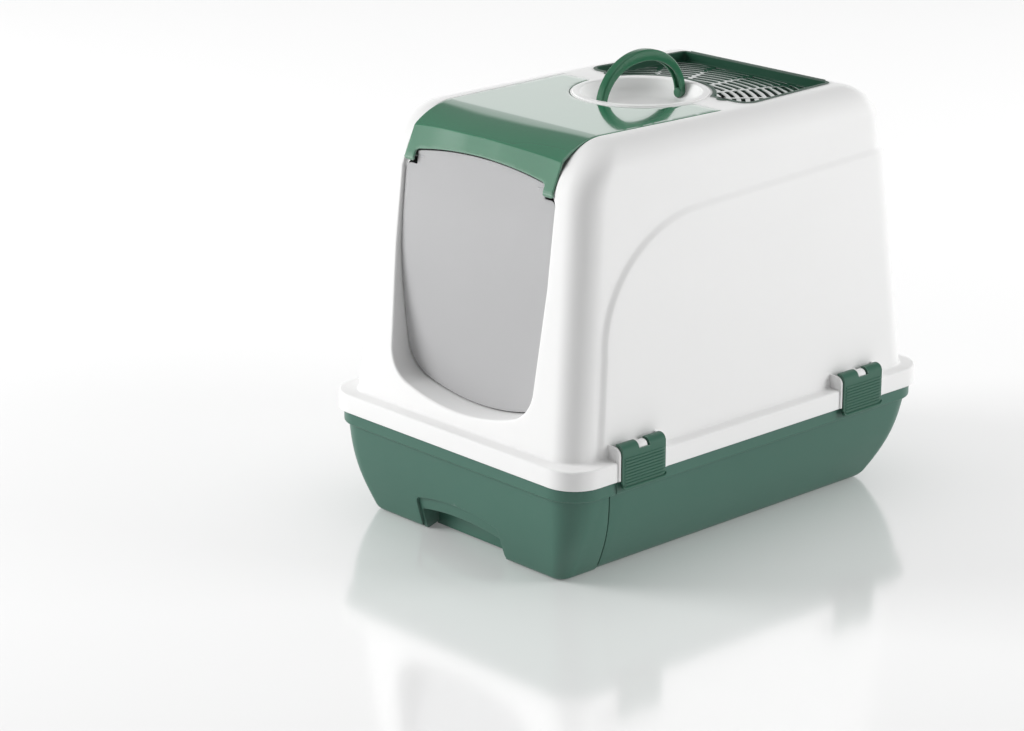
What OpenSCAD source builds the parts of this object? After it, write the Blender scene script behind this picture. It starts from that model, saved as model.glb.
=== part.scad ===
// Hooded cat litter box: a tub with a pull-out litter drawer, a lift-off hood held by four
// side latches, a lift-up visor that carries a swinging door flap, a folding carry handle in
// a round dish, and a vent cover over a charcoal filter.
// +Z is up, the door faces -Y, and the origin is on the floor under the middle of the rim.

/* [Rim] */
// Outside width of the hood's rim
rim_w = 384; // [382:1:386]
// Outside length of the hood's rim
rim_l = 540; // [538:1:542]
// Height of the rim's flat top ledge above the floor
rim_top = 133; // [132:0.5:134]
// Height of the rim's skirt
rim_h = 20.6; // [20:0.2:21]
// Corner radius of the rim
rim_r = 36; // [32:1:38]

/* [Hood] */
// Height of the hood's flat top above the floor
hood_top = 445; // [443:1:447]
// Wall thickness of the hood
hood_wall = 3; // [2.8:0.1:3.2]
// Half width of the hood where it meets the rim
hood_side = 174.5; // [173:0.5:175]
// Distance of the hood's front from the middle at the rim
hood_front = 254; // [252:1:255]
// Distance of the hood's back from the middle at the rim
hood_back = 253.5; // [252:0.5:254]

/* [Dish and handle] */
// Distance of the dish's centre behind the middle
dish_y = 10.5; // [10:0.5:11]
// Half span of the carry handle along the box
handle_span = 63; // [62:0.5:63]
// Height of the handle's arch above its pins
handle_rise = 55; // [50:1:56]

/* [Door] */
// Height of the door opening's lowest point
door_sill = 148; // [147:1:149]
// Height of the flap's hinge pins
flap_pin_z = 397; // [396.5:0.5:397.5]

/* [Latches] */
// Length of a latch along the rim
latch_l = 61.5; // [58:0.5:62]
// Place of the front latches ahead of the middle
latch_front_y = 174; // [172:1:176]
// Place of the rear latches behind the middle
latch_rear_y = 158; // [154:1:160]

/* [Tub and drawer] */
// Half width of the tub at the floor
tub_foot = 146.5; // [145:0.5:147]
// Thickness of the tub's and the drawer's walls
tub_wall = 3; // [2.8:0.1:3.2]
// Gap between the tub and the drawer front
seam_gap = 1.2; // [1:0.1:1.4]

/* [Hidden] */

white = [0.93, 0.93, 0.92];
green = [0.20, 0.42, 0.33];
dark_green = [0.14, 0.31, 0.25];
smoke = [0.75, 0.75, 0.76];
steel = [0.66, 0.67, 0.68];
charcoal = [0.08, 0.08, 0.08];

far = 700;                       // longer than the whole box, for cutting prisms
round_n = 6;                     // steps round each corner of a lofted ring
run_gap = 0.06;                  // radial clearance of a pin that turns in its bore

side_lean = 0.067;               // how far the hood's walls lean in, for each mm of height
front_lean = 0.1225;
back_lean = 0.09;
side_roll = 34;                  // radii that roll the hood's walls over into its top
front_roll = 58;
back_roll = 36;
hood_corner = 30;
corner_shrink = 0.6;             // how fast the corner radius shrinks as the walls roll over
panel_side = 3.5;                // how far the panel stands out at the sides and the back
panel_back = 5.5;

band_w = rim_w / 2 - 3;          // half width and half length of the tub's top band
band_l = rim_l / 2 - 3;
band_low = 98;
band_top = rim_top - rim_h - 0.4;
seam_y = -206.4;                 // the seam between tub and drawer, at the band
upstand_top = rim_top - hood_wall - 0.3;

visor_wall = 2.6;
visor_back = 9;                  // rear edge of the visor
visor_cut = 76;                  // radius of the visor's cut round the dish
visor_gap = 1;                   // gap between the visor and the hood
visor_pin_y = 3;
visor_pin_z = hood_top - 3.5;
ear_z = 391;                     // lower end of the visor's two ears
ear_in = 97;                     // half distance between the ears

flap_pin_y = -217;
flap_wall = 2.5;
flap_bow = 9;                    // how far the flap bows out at its middle
flap_foot = door_sill + 5;

handle_z = hood_top - 10;        // height of the handle's pins
handle_w = 11;
handle_t = 9;
handle_foot_r = 5.5;
dish_r = 65;                     // inside radius of the dish
dish_floor = hood_top - 17.5;
hole_r = 70;                     // hole in the hood that the dish drops into

vent_low = hood_top - 11;        // underside of the vent cover's grille
well_low = hood_top - 27;        // lower end of the well that holds the filter
grille_t = 2.5;
vent_edge_y = 189.2;             // the vent cover's rear edge, on which it tips up
vent_edge_z = hood_top + 0.95;

axle_x = rim_w / 2 - 4.5;        // latch axle, beside the hood's wall above the rim
axle_z = rim_top + 9.5;
axle_r = 2;
latch_r = 8;                     // radius of the latch's rolled top
latch_in = rim_w / 2 + 0.9;
latch_out = axle_x + latch_r;
latch_foot = rim_top - rim_h - 9.4;

// ---- outlines ----

function arc(cx, cy, r, from, to, n) =
    [for (i = [0:n]) let (a = from + (to - from) * i / n) [cx + r * cos(a), cy + r * sin(a)]];

function flip(points) = [for (i = [len(points) - 1:-1:0]) [-points[i][0], points[i][1]]];

// a rectangle with rounded corners, from y0 to y1 and hx to each side
function round_rect(hx, y0, y1, r) = concat(
    arc(hx - r, y0 + r, r, -90, 0, round_n),
    arc(hx - r, y1 - r, r, 0, 90, round_n),
    arc(r - hx, y1 - r, r, 90, 180, round_n),
    arc(r - hx, y0 + r, r, 180, 270, round_n));

// a solid through rings of points, each ring [height, points]
module loft(rings) {
    n = len(rings[0][1]);
    last = len(rings) - 1;
    polyhedron(
        points = [for (ring = rings) for (p = ring[1]) [p[0], p[1], ring[0]]],
        faces = concat(
            [[for (i = [0:n - 1]) i]],
            [for (k = [0:last - 1]) for (i = [0:n - 1])
                [k * n + i, (k + 1) * n + i, (k + 1) * n + (i + 1) % n]],
            [for (k = [0:last - 1]) for (i = [0:n - 1])
                [k * n + i, (k + 1) * n + (i + 1) % n, k * n + (i + 1) % n]],
            [[for (i = [n - 1:-1:0]) last * n + i]]));
}

// a rectangle with true round corners, centred
module rounded(hx, hy, r) {
    square([2 * hx, 2 * (hy - r)], center = true);
    square([2 * (hx - r), 2 * hy], center = true);
    for (sx = [-1, 1]) for (sy = [-1, 1])
        translate([sx * (hx - r), sy * (hy - r)]) circle(r = r, $fn = 48);
}

module rounded_ring(hx, hy, r, t, low, high) {
    translate([0, 0, low]) linear_extrude(high - low) difference() {
        rounded(hx, hy, r);
        rounded(hx - t, hy - t, r - t);
    }
}

// extrude a front-view outline (x, z) backwards from y0 to y1
module along_y(y0, y1) {
    translate([0, y1, 0]) rotate([90, 0, 0]) linear_extrude(y1 - y0) children();
}

// extrude a side-view outline (y, z) from x0 to x1
module along_x(x0, x1) {
    translate([x0, 0, 0]) rotate([90, 0, 90]) linear_extrude(x1 - x0) children();
}

module rod_x(x0, x1, y, z, r) {
    translate([x0, y, z]) rotate([0, 90, 0]) cylinder(h = x1 - x0, r = r, $fn = 32);
}

module rod_y(y0, y1, x, z, r) {
    translate([x, y1, z]) rotate([90, 0, 0]) cylinder(h = y1 - y0, r = r, $fn = 32);
}

// ---- hood ----

function rolled(z, top, r) =
    z <= top - r ? 0 : r - sqrt(max(0, r * r - (z - top + r) * (z - top + r)));

// the hood's ring at height z, inset by d and grown by side and back for the raised panel
function hood_ring(z, d, side = 0, back = 0) =
    let (top = hood_top - d, up = z - rim_top)
    [z, round_rect(
        hood_side + side - side_lean * up - d - rolled(z, top, side_roll - d),
        -hood_front + front_lean * up + d + rolled(z, top, front_roll - d),
        hood_back + back - back_lean * up - d - rolled(z, top, back_roll - d),
        hood_corner - d - corner_shrink * rolled(z, top, side_roll - d))];

// the hood as one solid block, its surface inset by d, standing on z = low
module hood_block(d, low) {
    top = hood_top - d;
    r = front_roll - d;
    loft(concat(
        [hood_ring(low, d), hood_ring((low + top - r) / 2, d)],
        [for (a = [0:9:90]) hood_ring(top - r + r * sin(a), d)]));
}

// the panel pressed outwards over the lower back of the hood
module panel_block() {
    intersection() {
        loft([for (z = [rim_top - 1, 250, 330, 400])
            hood_ring(z, 0, side = panel_side, back = panel_back)]);
        along_x(-rim_w / 2, rim_w / 2) polygon(concat(
            [[300, 100], [300, 380]],
            [for (a = [90:10:180]) [146 * cos(a) - 60, 131 * sin(a) + 235]],
            [[-218, rim_top - 10], [-218, 100]]));
    }
}

// plan view of the visor, grown by g to the sides and round the dish
module visor_plan(g, back) {
    difference() {
        polygon([[-112 - g, -300], [112 + g, -300], [110.5 + g, -175],
                 [117 + g, back], [-117 - g, back], [-110.5 - g, -175]]);
        translate([0, dish_y]) circle(r = visor_cut - g, $fn = 96);
    }
}

// the arch between the visor's ears, from -x to x, lowered by g
function visor_arch(x, g) =
    let (rise = 9, r = (ear_in * ear_in + rise * rise) / (2 * rise), half = asin(x / r))
    arc(0, ear_z + 13 + rise - r - g, r, 90 + half, 90 - half, 12);

// front view of the visor, which ends in an arch between two ears
module visor_front() {
    polygon(concat(
        [[-130, hood_top + 10], [-130, ear_z], [-ear_in, ear_z]],
        visor_arch(ear_in, 0),
        [[ear_in, ear_z], [130, ear_z], [130, hood_top + 10]]));
}

// front view of the door opening, inset by g
module door_outline(g, top) {
    bottom_r = 273;
    corner_r = 38;
    lean = 17.3;
    right = concat(
        arc(0, door_sill + bottom_r, bottom_r - g, -90, lean - 90, 3),
        arc(70, door_sill + bottom_r - 224.3, corner_r - g, lean - 90, 0, 6),
        [[114 - g, 300], [114 - g, top]]);
    polygon(concat(right, flip(right)));
}

// plan view of the vent, grown by g; its front edge follows the dish
module vent_plan(g) {
    r = 77.5 - g;
    front = 48 - g;
    turn = asin((front - dish_y) / r);
    right = concat(
        arc(0, dish_y, r, 90, turn, 8),
        arc(102, 62, 14 + g, -90, 0, 4),
        arc(102, 181, 6 + g, 0, 90, 3));
    polygon(concat(right, flip(right)));
}

module on_each_corner() {
    for (y = [-latch_front_y, latch_rear_y]) {
        translate([0, y, 0]) children();
        mirror([1, 0, 0]) translate([0, y, 0]) children();
    }
}

// the two cheeks that carry a latch's axle, and the hook that shows through its slot
module latch_cheeks() {
    cheek_t = 2.5;
    top = rim_top + 15;
    for (side = [-1, 1]) {
        y = side * (latch_l / 2 + 0.5 + cheek_t / 2);
        along_y(y - cheek_t / 2, y + cheek_t / 2) {
            translate([hood_side - 5, rim_top - 2]) square([axle_x - 3.5 - hood_side + 5, 17]);
            translate([hood_side - 5, rim_top - 2])
                square([rim_w / 2 - hood_side + 5, 9]);
            translate([rim_w / 2 - 8, top - 8]) circle(r = 8, $fn = 48);
        }
    }
    along_y(-5.5, 5.5)
        translate([hood_side - 4, axle_z + 2.7]) square([axle_x - 1.5 - hood_side + 4, 3.6]);
}

// the ledge that the visor's edges rest on
module visor_ledge() {
    intersection() {
        difference() {
            hood_block(hood_wall - 0.5, 380);
            hood_block(hood_wall + 3, 370);
        }
        linear_extrude(far) visor_plan(8, -5);
    }
}

// everything that the visor and the door take out of the hood
module front_cut() {
    along_y(-far, -211) door_outline(0, 412);
    translate([0, 0, 388]) linear_extrude(far) visor_plan(-7, 0);
    difference() {
        translate([0, 0, 388]) linear_extrude(far) visor_plan(visor_gap, -5.5);
        hood_block(hood_wall, 380);
    }
    intersection() {
        translate([0, 0, 388]) linear_extrude(far) visor_plan(visor_gap, visor_back + 1.4);
        translate([-far / 2, -6, 0]) cube([far, 40, far]);
    }
}

module hood_shell() {
    color(white) difference() {
        union() {
            difference() {
                union() {
                    hood_block(0, rim_top - 1);
                    panel_block();
                }
                hood_block(hood_wall, rim_top - 20);
            }
            difference() {
                translate([0, 0, rim_top - hood_wall]) linear_extrude(hood_wall)
                    rounded(rim_w / 2, rim_l / 2, rim_r);
                hood_block(hood_wall, rim_top - 20);
            }
            rounded_ring(rim_w / 2, rim_l / 2, rim_r, 2.6, rim_top - rim_h, rim_top - 1);
            visor_ledge();
            intersection() {
                along_y(-far, -222) difference() {
                    door_outline(-2.5, 386);
                    door_outline(0, 387);
                }
                hood_block(1, 140);
            }
            translate([0, 0, well_low]) linear_extrude(hood_top - well_low - 1) difference() {
                vent_plan(3.5);
                vent_plan(1);
            }
            on_each_corner() latch_cheeks();
            // bosses for the visor's pins, inside the top's edge
            for (side = [-1, 1])
                rod_x(side * 120.4 - 2.2, side * 120.4 + 2.2, visor_pin_y, visor_pin_z, 3);
        }
        front_cut();
        for (side = [-1, 1])
            rod_x(side * 120 - 4, side * 120 + 4, visor_pin_y, visor_pin_z, 1.5 + run_gap);
        translate([0, dish_y, 300]) cylinder(h = far, r = hole_r, $fn = 96);
        translate([0, 0, hood_top - 20]) linear_extrude(40) vent_plan(1);
        on_each_corner() rod_y(-40, 40, axle_x, axle_z, axle_r);
    }
}

// shallow bowl that drops into the hood's top and holds the carry handle
module handle_dish() {
    color(white) difference() {
        translate([0, dish_y, 0]) rotate_extrude($fn = 96) {
            translate([0, dish_floor - 2.5]) square([dish_r + 2.5, 2.5]);
            translate([dish_r, dish_floor - 2.5]) square([2.5, hood_top + 1.2 - dish_floor + 2.5]);
            translate([dish_r, hood_top]) square([8.3, 1.2]);
        }
        rod_y(-100, 100, 0, handle_z, 2.5);
    }
}

// grid that clips under the well and carries the filter
module filter_holder() {
    color(white) translate([0, 0, well_low - 3]) linear_extrude(3) difference() {
        vent_plan(3.5);
        for (x = [-87:29:87]) for (y = [103:29:161])
            translate([x, y]) square(25, center = true);
        for (x = [-93, 93]) translate([x, 74]) square([24, 25], center = true);
    }
}

module charcoal_filter() {
    color(charcoal) translate([0, 0, well_low]) linear_extrude(vent_low - 2 - well_low)
        vent_plan(-1.5);
}

// a curved slot between radii r0 and r1 round the dish, from angle a0 to a1
module grille_slot(r0, r1, a0, a1) {
    polygon(concat(arc(0, dish_y, r1, a0, a1, 4), arc(0, dish_y, r0, a1, a0, 4)));
}

// lift-up cover: a thin lip, a wall and a grille of curved slots between radial ribs
module vent_cover() {
    slot_w = 6;
    pitch = 10;
    color(green) {
        translate([0, 0, hood_top]) linear_extrude(1) difference() {
            vent_plan(2.2);
            vent_plan(-2);
        }
        translate([0, 0, vent_low]) linear_extrude(hood_top + 1 - vent_low) difference() {
            vent_plan(-0.6);
            vent_plan(-2.6);
        }
        translate([0, 0, vent_low]) linear_extrude(grille_t) difference() {
            vent_plan(-1);
            intersection() {
                vent_plan(-6);
                for (r = [86:pitch:186]) for (a = [14:19:160])
                    grille_slot(r, r + slot_w, a, a + 19 - 3.5 * 86 / r);
            }
        }
        // rolled rear edge that the cover tips on
        rod_x(-100, 100, vent_edge_y, vent_edge_z, 0.9);
        // finger tabs at the front corners
        for (x = [-84, 84]) translate([x, 48, hood_top]) difference() {
            cylinder(h = 1, r = 7, $fn = 32);
            translate([-10, 0, -1]) cube([20, 20, 4]);
        }
    }
}

// ---- visor and door ----

module visor() {
    color(green) difference() {
        union() {
            intersection() {
                difference() {
                    hood_block(0, 380);
                    hood_block(visor_wall, 370);
                }
                linear_extrude(far) visor_plan(0, visor_back);
                along_y(-far, 40) visor_front();
            }
            for (side = [-1, 1]) {
                rod_x(side * 112.5 - 4, side * 112.5 + 4, visor_pin_y, visor_pin_z, 3);
                rod_x(side * 103 - 5.5, side * 103 + 5.5, flap_pin_y, flap_pin_z, 3.8);
            }
        }
        rod_x(-130, 130, visor_pin_y, visor_pin_z, 1.5);
        rod_x(-107, 107, flap_pin_y, flap_pin_z, 1.5 + run_gap);
    }
}

module visor_pin(side) {
    color(steel) rod_x(side * 115 - 6.5, side * 115 + 6.5, visor_pin_y, visor_pin_z, 1.5);
}

module visor_pin_left() visor_pin(-1);

module visor_pin_right() visor_pin(1);

// side view of the flap: a thin bowed plate hanging from the pins
function flap_y(z, off) = let (u = (flap_pin_z - z) / (flap_pin_z - flap_foot))
    flap_pin_y - flap_bow * sin(180 * u) - 2 * u + off;

module flap_side() {
    n = 14;
    top = ear_z + 22;
    step = (top - flap_foot) / n;
    polygon(concat(
        [for (i = [0:n]) [flap_y(flap_foot + i * step, -flap_wall / 2), flap_foot + i * step]],
        [for (i = [n:-1:0]) [flap_y(flap_foot + i * step, flap_wall / 2), flap_foot + i * step]]));
}

module door_flap() {
    shoulder = ear_z - 4;
    color(smoke) difference() {
        union() {
            intersection() {
                along_x(-120, 120) flap_side();
                along_y(-far, 0) union() {
                    door_outline(2.5, shoulder);
                    polygon(concat([[-95, 350]], visor_arch(95, 2), [[95, 350]]));
                }
            }
            for (side = [-1, 1])
                rod_x(side * 90 - 6, side * 90 + 6, flap_pin_y, flap_pin_z, 3);
        }
        rod_x(-100, 100, flap_pin_y, flap_pin_z, 1.5);
    }
}

module flap_pin(side) {
    color(steel) rod_x(side * 95.5 - 9.5, side * 95.5 + 9.5, flap_pin_y, flap_pin_z, 1.5);
}

module flap_pin_left() flap_pin(-1);

module flap_pin_right() flap_pin(1);

// ---- carry handle ----

function half_oval(a, b, n) = [for (i = [0:n]) [a * cos(180 * i / n), b * sin(180 * i / n)]];

module carry_handle() {
    color(green) translate([0, dish_y, handle_z]) difference() {
        union() {
            along_x(-handle_w / 2, handle_w / 2) difference() {
                polygon(half_oval(handle_span, handle_rise, 48));
                polygon(concat(half_oval(handle_span - handle_t, handle_rise - handle_t, 48),
                    [[handle_t - handle_span, -1], [handle_span - handle_t, -1]]));
            }
            for (side = [-1, 1]) {
                mid = side * (handle_span - handle_t / 2);
                rod_y(mid - handle_t / 2, mid + handle_t / 2, 0, 0, handle_foot_r);
            }
        }
        rod_y(-100, 100, 0, 0, 2.5 + run_gap);
    }
}

module handle_pin(side) {
    color(steel) rod_y(dish_y + side * 61 - 6.5, dish_y + side * 61 + 6.5, 0, handle_z, 2.5);
}

module handle_pin_front() handle_pin(-1);

module handle_pin_rear() handle_pin(1);

// ---- latches ----

// a latch on the right side, centred on y = 0
module latch_body() {
    half = latch_l / 2;
    slot = 7.5;
    rib_pitch = 2.5;
    difference() {
        union() {
            rod_y(-half, half, axle_x, axle_z, 5.2);
            intersection() {
                rod_y(-half, half, axle_x, axle_z, latch_r);
                along_y(-half, half) translate([axle_x - 3, axle_z]) square(20);
            }
            along_y(-half, half) {
                translate([latch_in, latch_foot]) square([latch_out - latch_in, axle_z - latch_foot]);
                translate([latch_in, latch_foot]) square([latch_out - latch_in + 1.6, 3.5]);
            }
            for (i = [0:10])
                rod_y(2 - half, half - 2, latch_out, latch_foot + 6 + i * rib_pitch, 0.8);
        }
        rod_y(-slot, slot, axle_x, axle_z, 6.6);
        along_y(-slot, slot) translate([axle_x - 12, axle_z + 1]) square(24);
        rod_y(-40, 40, axle_x, axle_z, axle_r + run_gap);
    }
}

module latch(side, y) {
    color(green) translate([0, y, 0]) mirror([side < 0 ? 1 : 0, 0, 0]) latch_body();
}

module latch_front_right() latch(1, -latch_front_y);

module latch_front_left() latch(-1, -latch_front_y);

module latch_rear_right() latch(1, latch_rear_y);

module latch_rear_left() latch(-1, latch_rear_y);

module latch_axle(side, y) {
    half = latch_l / 2 + 3;
    color(steel) rod_y(y - half, y + half, side * axle_x, axle_z, axle_r);
}

module latch_axle_front_right() latch_axle(1, -latch_front_y);

module latch_axle_front_left() latch_axle(-1, -latch_front_y);

module latch_axle_rear_right() latch_axle(1, latch_rear_y);

module latch_axle_rear_left() latch_axle(-1, latch_rear_y);

// ---- tub and drawer ----

// the tapered base as one block, its surface inset by d, from z = low to the band
module base_block(d, low) {
    function ring(z, foot) = [z, round_rect(
        tub_foot + 0.383 * z - d - foot,
        -242.5 - 0.199 * z + d + foot,
        221 + 0.418 * z - d - foot,
        14 + 0.2 * z - min(d, 4))];
    loft([
        ring(low, low < 1 ? 5 : 0),
        ring(low + 2.5, low < 1 ? 1.6 : 0),
        ring(low + 8, 0),
        ring(band_low + (d > 0 ? 4 : 0), 0)]);
}

// step and skirt of the band round the top of the base
module base_band() {
    rounded_ring(band_w, band_l, 34, 8, band_low, band_low + 3);
    rounded_ring(band_w, band_l, 34, 3, band_low, band_top);
}

// side view of what belongs to the tub, moved back by g
module behind_seam(g) {
    along_x(-far / 2, far / 2) polygon([
        [seam_y + g, band_top + 40], [seam_y + g, band_low - 0.5],
        [seam_y - 4.3 + g, band_low - 0.5], [seam_y + 15.4 + g, -10],
        [far / 2, -10], [far / 2, band_top + 40]]);
}

module base_tub() {
    color(green) {
        intersection() {
            union() {
                difference() {
                    base_block(0, 0);
                    base_block(tub_wall, tub_wall);
                }
                base_band();
            }
            behind_seam(0);
        }
        // runners under the tray
        for (x = [-90, 90])
            translate([x - 4, -180, tub_wall - 0.5]) cube([8, 380, 1.4]);
        // upstand inside the hood's rim, which bridges over the drawer
        difference() {
            rounded_ring(band_w - 3, band_l - 3, 31, 3, band_low + 1, upstand_top);
            translate([-far / 2, -far, 0]) cube([far, far + seam_y, band_top + 0.8]);
        }
    }
}

// front view of the grip's arched recess, half width at the foot and height of its arch
module grip_outline(foot, top) {
    polygon(concat(
        [[-foot, -10], [foot, -10]],
        arc(foot - 18, top - 15, 9, 10, 70, 4),
        arc(18 - foot, top - 15, 9, 110, 170, 4)));
}

module drawer_front() {
    pocket_y = -222;
    recess_y = -241;
    lip = 27;
    color(green) difference() {
        union() {
            difference() {
                union() {
                    difference() {
                        base_block(0, 0);
                        base_block(tub_wall, tub_wall + 1.2);
                    }
                    intersection() {
                        base_band();
                        translate([0, 0, band_top - 0.3 - far / 2]) cube(far, center = true);
                    }
                }
                behind_seam(-seam_gap);
                translate([-far / 2, -far / 2, -far + 1]) cube([far, far, far]);
            }
            // housing behind the grip
            intersection() {
                union() {
                    along_y(-262, pocket_y + 3) grip_outline(64, lip + 3);
                    along_y(-262, recess_y + 3) grip_outline(66, 48);
                }
                base_block(0.5, 1.2);
            }
        }
        along_y(-far, recess_y) grip_outline(63, 45);
        along_y(-far, pocket_y) grip_outline(61, lip);
    }
}

// open tray that holds the litter and rides in the drawer
module litter_tray() {
    function tray(z, d) = [z, round_rect(
        137.5 + 0.383 * (z - 4.2) - d,
        -213 - 0.2 * (z - 4.2) + d,
        213 + 0.39 * (z - 4.2) - d,
        24 + 0.1 * z - d)];
    color(dark_green) difference() {
        union() {
            loft([tray(4.2, 0), tray(104, 0)]);
            loft([tray(101.5, -3), tray(104, -3)]);
        }
        loft([tray(6.7, 2.5), tray(110, 2.5)]);
    }
}

base_tub();
drawer_front();
litter_tray();
hood_shell();
handle_dish();
filter_holder();
charcoal_filter();
vent_cover();
visor();
visor_pin_left();
visor_pin_right();
door_flap();
flap_pin_left();
flap_pin_right();
carry_handle();
handle_pin_front();
handle_pin_rear();
latch_front_right();
latch_front_left();
latch_rear_right();
latch_rear_left();
latch_axle_front_right();
latch_axle_front_left();
latch_axle_rear_right();
latch_axle_rear_left();
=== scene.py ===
import bpy
import numpy as np
from mathutils import Matrix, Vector
from mathutils.geometry import delaunay_2d_cdt


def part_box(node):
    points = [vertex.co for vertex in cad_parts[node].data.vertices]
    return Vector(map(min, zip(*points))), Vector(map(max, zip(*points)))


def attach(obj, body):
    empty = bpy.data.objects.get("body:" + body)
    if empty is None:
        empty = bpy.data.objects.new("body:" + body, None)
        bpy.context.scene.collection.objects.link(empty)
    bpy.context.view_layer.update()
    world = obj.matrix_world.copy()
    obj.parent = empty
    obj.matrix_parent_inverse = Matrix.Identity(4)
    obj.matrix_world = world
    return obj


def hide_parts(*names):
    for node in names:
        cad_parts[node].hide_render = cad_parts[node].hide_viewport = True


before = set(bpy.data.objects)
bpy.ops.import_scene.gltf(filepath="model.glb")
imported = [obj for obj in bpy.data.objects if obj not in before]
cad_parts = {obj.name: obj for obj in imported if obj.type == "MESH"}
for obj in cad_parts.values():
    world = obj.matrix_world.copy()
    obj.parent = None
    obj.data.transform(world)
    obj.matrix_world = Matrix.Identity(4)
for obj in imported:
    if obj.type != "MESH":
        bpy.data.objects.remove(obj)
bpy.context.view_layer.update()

# Camera: a long lens a little above the box, off its front right corner.
# It is level, with no shift and no depth of field.
camera_data = bpy.data.cameras.new("camera")
camera_data.sensor_width = 36
camera_data.lens = 104.55
camera_data.clip_end = 50
camera = bpy.data.objects.new("camera", camera_data)
camera_right = (0.67758, 0.73545, 0)
camera_up = (-0.22877, 0.21077, 0.95039)
camera_back = (0.69896, -0.64396, 0.31106)
camera_place = (2.16646, -2.17054, 1.14582)
camera.matrix_world = Matrix((camera_right, camera_up, camera_back)).transposed().to_4x4()
camera.matrix_world.translation = camera_place
bpy.context.collection.objects.link(camera)
bpy.context.scene.camera = camera

# Studio: a white sweep lit by big soft panels, with a grey ceiling between them and an
# open, darker side in front of the box's corner. The floor is pale and glossy, so the box
# stands over a faint mirror image.
bpy.context.scene.view_settings.view_transform = "Standard"
world = bpy.data.worlds.new("studio")
bpy.context.scene.world = world
world.use_nodes = True
world_nodes = world.node_tree.nodes
world_links = world.node_tree.links
world_coords = world_nodes.new("ShaderNodeTexCoord")
world_split = world_nodes.new("ShaderNodeSeparateXYZ")
world_ramp = world_nodes.new("ShaderNodeValToRGB")
world_links.new(world_coords.outputs["Generated"], world_split.inputs[0])
world_links.new(world_split.outputs["Z"], world_ramp.inputs[0])
open_side = world_nodes.new("ShaderNodeVectorMath")
open_side.operation = "DOT_PRODUCT"
open_side.inputs[1].default_value = (0.72, -0.69, 0)
open_side_level = world_nodes.new("ShaderNodeMapRange")
open_side_level.inputs["From Min"].default_value = 0.30
open_side_level.inputs["From Max"].default_value = 0.80
open_side_level.inputs["To Min"].default_value = 1.08
open_side_level.inputs["To Max"].default_value = 0.33
world_links.new(world_coords.outputs["Generated"], open_side.inputs[0])
world_links.new(open_side.outputs["Value"], open_side_level.inputs["Value"])
world_links.new(open_side_level.outputs["Result"], world_nodes["Background"].inputs["Strength"])
world_links.new(world_ramp.outputs[0], world_nodes["Background"].inputs["Color"])
ramp = world_ramp.color_ramp
ramp.elements[0].position = 0.0
ramp.elements[0].color = (1, 1, 1, 1)
ramp.elements[1].position = 0.97
ramp.elements[1].color = (0.9, 0.9, 0.9, 1)
for place, level in ((0.27, 1.0), (0.30, 0.70), (0.42, 0.70), (0.48, 0.22), (0.78, 0.25), (0.88, 0.8)):
    stop = ramp.elements.new(place)
    stop.color = (level, level, level, 1)


def light_panel(name, place, aim, size, power):
    """A soft rectangular light that faces a point."""
    data = bpy.data.lights.new(name, "AREA")
    data.shape = "RECTANGLE"
    data.size, data.size_y = size
    data.energy = power
    light = bpy.data.objects.new(name, data)
    to_light = np.array(place) - np.array(aim)
    to_light = to_light / np.linalg.norm(to_light)
    side = np.cross((0, 0, 1), to_light)
    side = side / np.linalg.norm(side)
    turn = Matrix((side, np.cross(to_light, side), to_light)).transposed().to_4x4()
    light.matrix_world = turn
    light.matrix_world.translation = place
    light.visible_glossy = False                   # no glare from the panels on glossy plastic
    bpy.context.collection.objects.link(light)


light_panel("key_panel", (-2.58, -2.49, 1.5), (0, 0, 0.2), (1.8, 1.8), 124)
light_panel("side_panel", (2.6, 1.9, 1.3), (0, 0, 0.2), (1.6, 1.6), 54)
light_panel("back_panel", (0.4, 2.8, 1.4), (0, 0, 0.3), (2.2, 1.0), 9)

floor_mesh = bpy.data.meshes.new("floor")
floor_mesh.from_pydata([(-20, -20, 0), (20, -20, 0), (20, 20, 0), (-20, 20, 0)], [], [(0, 1, 2, 3)])
floor = bpy.data.objects.new("floor", floor_mesh)
floor.location.z = -0.0004
bpy.context.collection.objects.link(floor)
floor_paint = bpy.data.materials.new("white_sweep")
floor_paint.use_nodes = True
floor_shader = floor_paint.node_tree.nodes["Principled BSDF"]
floor_shader.inputs["Base Color"].default_value = (0.86, 0.86, 0.86, 1)
floor_shader.inputs["Roughness"].default_value = 0.13
floor_shader.inputs["IOR"].default_value = 3.8
floor_shader.inputs["Emission Color"].default_value = (1, 1, 1, 1)
floor_shader.inputs["Emission Strength"].default_value = 0.12
floor_mesh.materials.append(floor_paint)

# Hood: one white polypropylene moulding, leaning walls rolled over into a flat top.
# A panel is pressed outwards over its lower back, and a flanged rim runs round its foot.


def cad_box_mm(node):
    """The low and high corners of a part's box, in millimetres."""
    return [np.array(corner) * 1000 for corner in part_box(node)]


hood_low, hood_high = cad_box_mm("hood_shell")
rim_half_w, rim_half_l = hood_high[:2]
rim_foot = hood_low[2]
rim_top = 133
hood_top = 445
wall_half_w = 174.5
wall_front = -254
wall_back = 253.5
side_lean, front_lean, back_lean = 0.067, 0.1225, 0.09
side_roll, front_roll, back_roll = 34, 58, 36
corner_r = 30
roll_start = hood_top - front_roll - rim_top      # distance up the wall where the front roll starts
wall_height = roll_start + front_roll * np.pi / 2
# the wall's right half has five legs: front, corner, side, corner, back
legs = np.array([wall_half_w - corner_r, corner_r * np.pi / 2,
                 wall_back - wall_front - 2 * corner_r, corner_r * np.pi / 2,
                 wall_half_w - corner_r])
corners_at = np.concatenate([[0], np.cumsum(legs)])
half_way = corners_at[-1]


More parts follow.
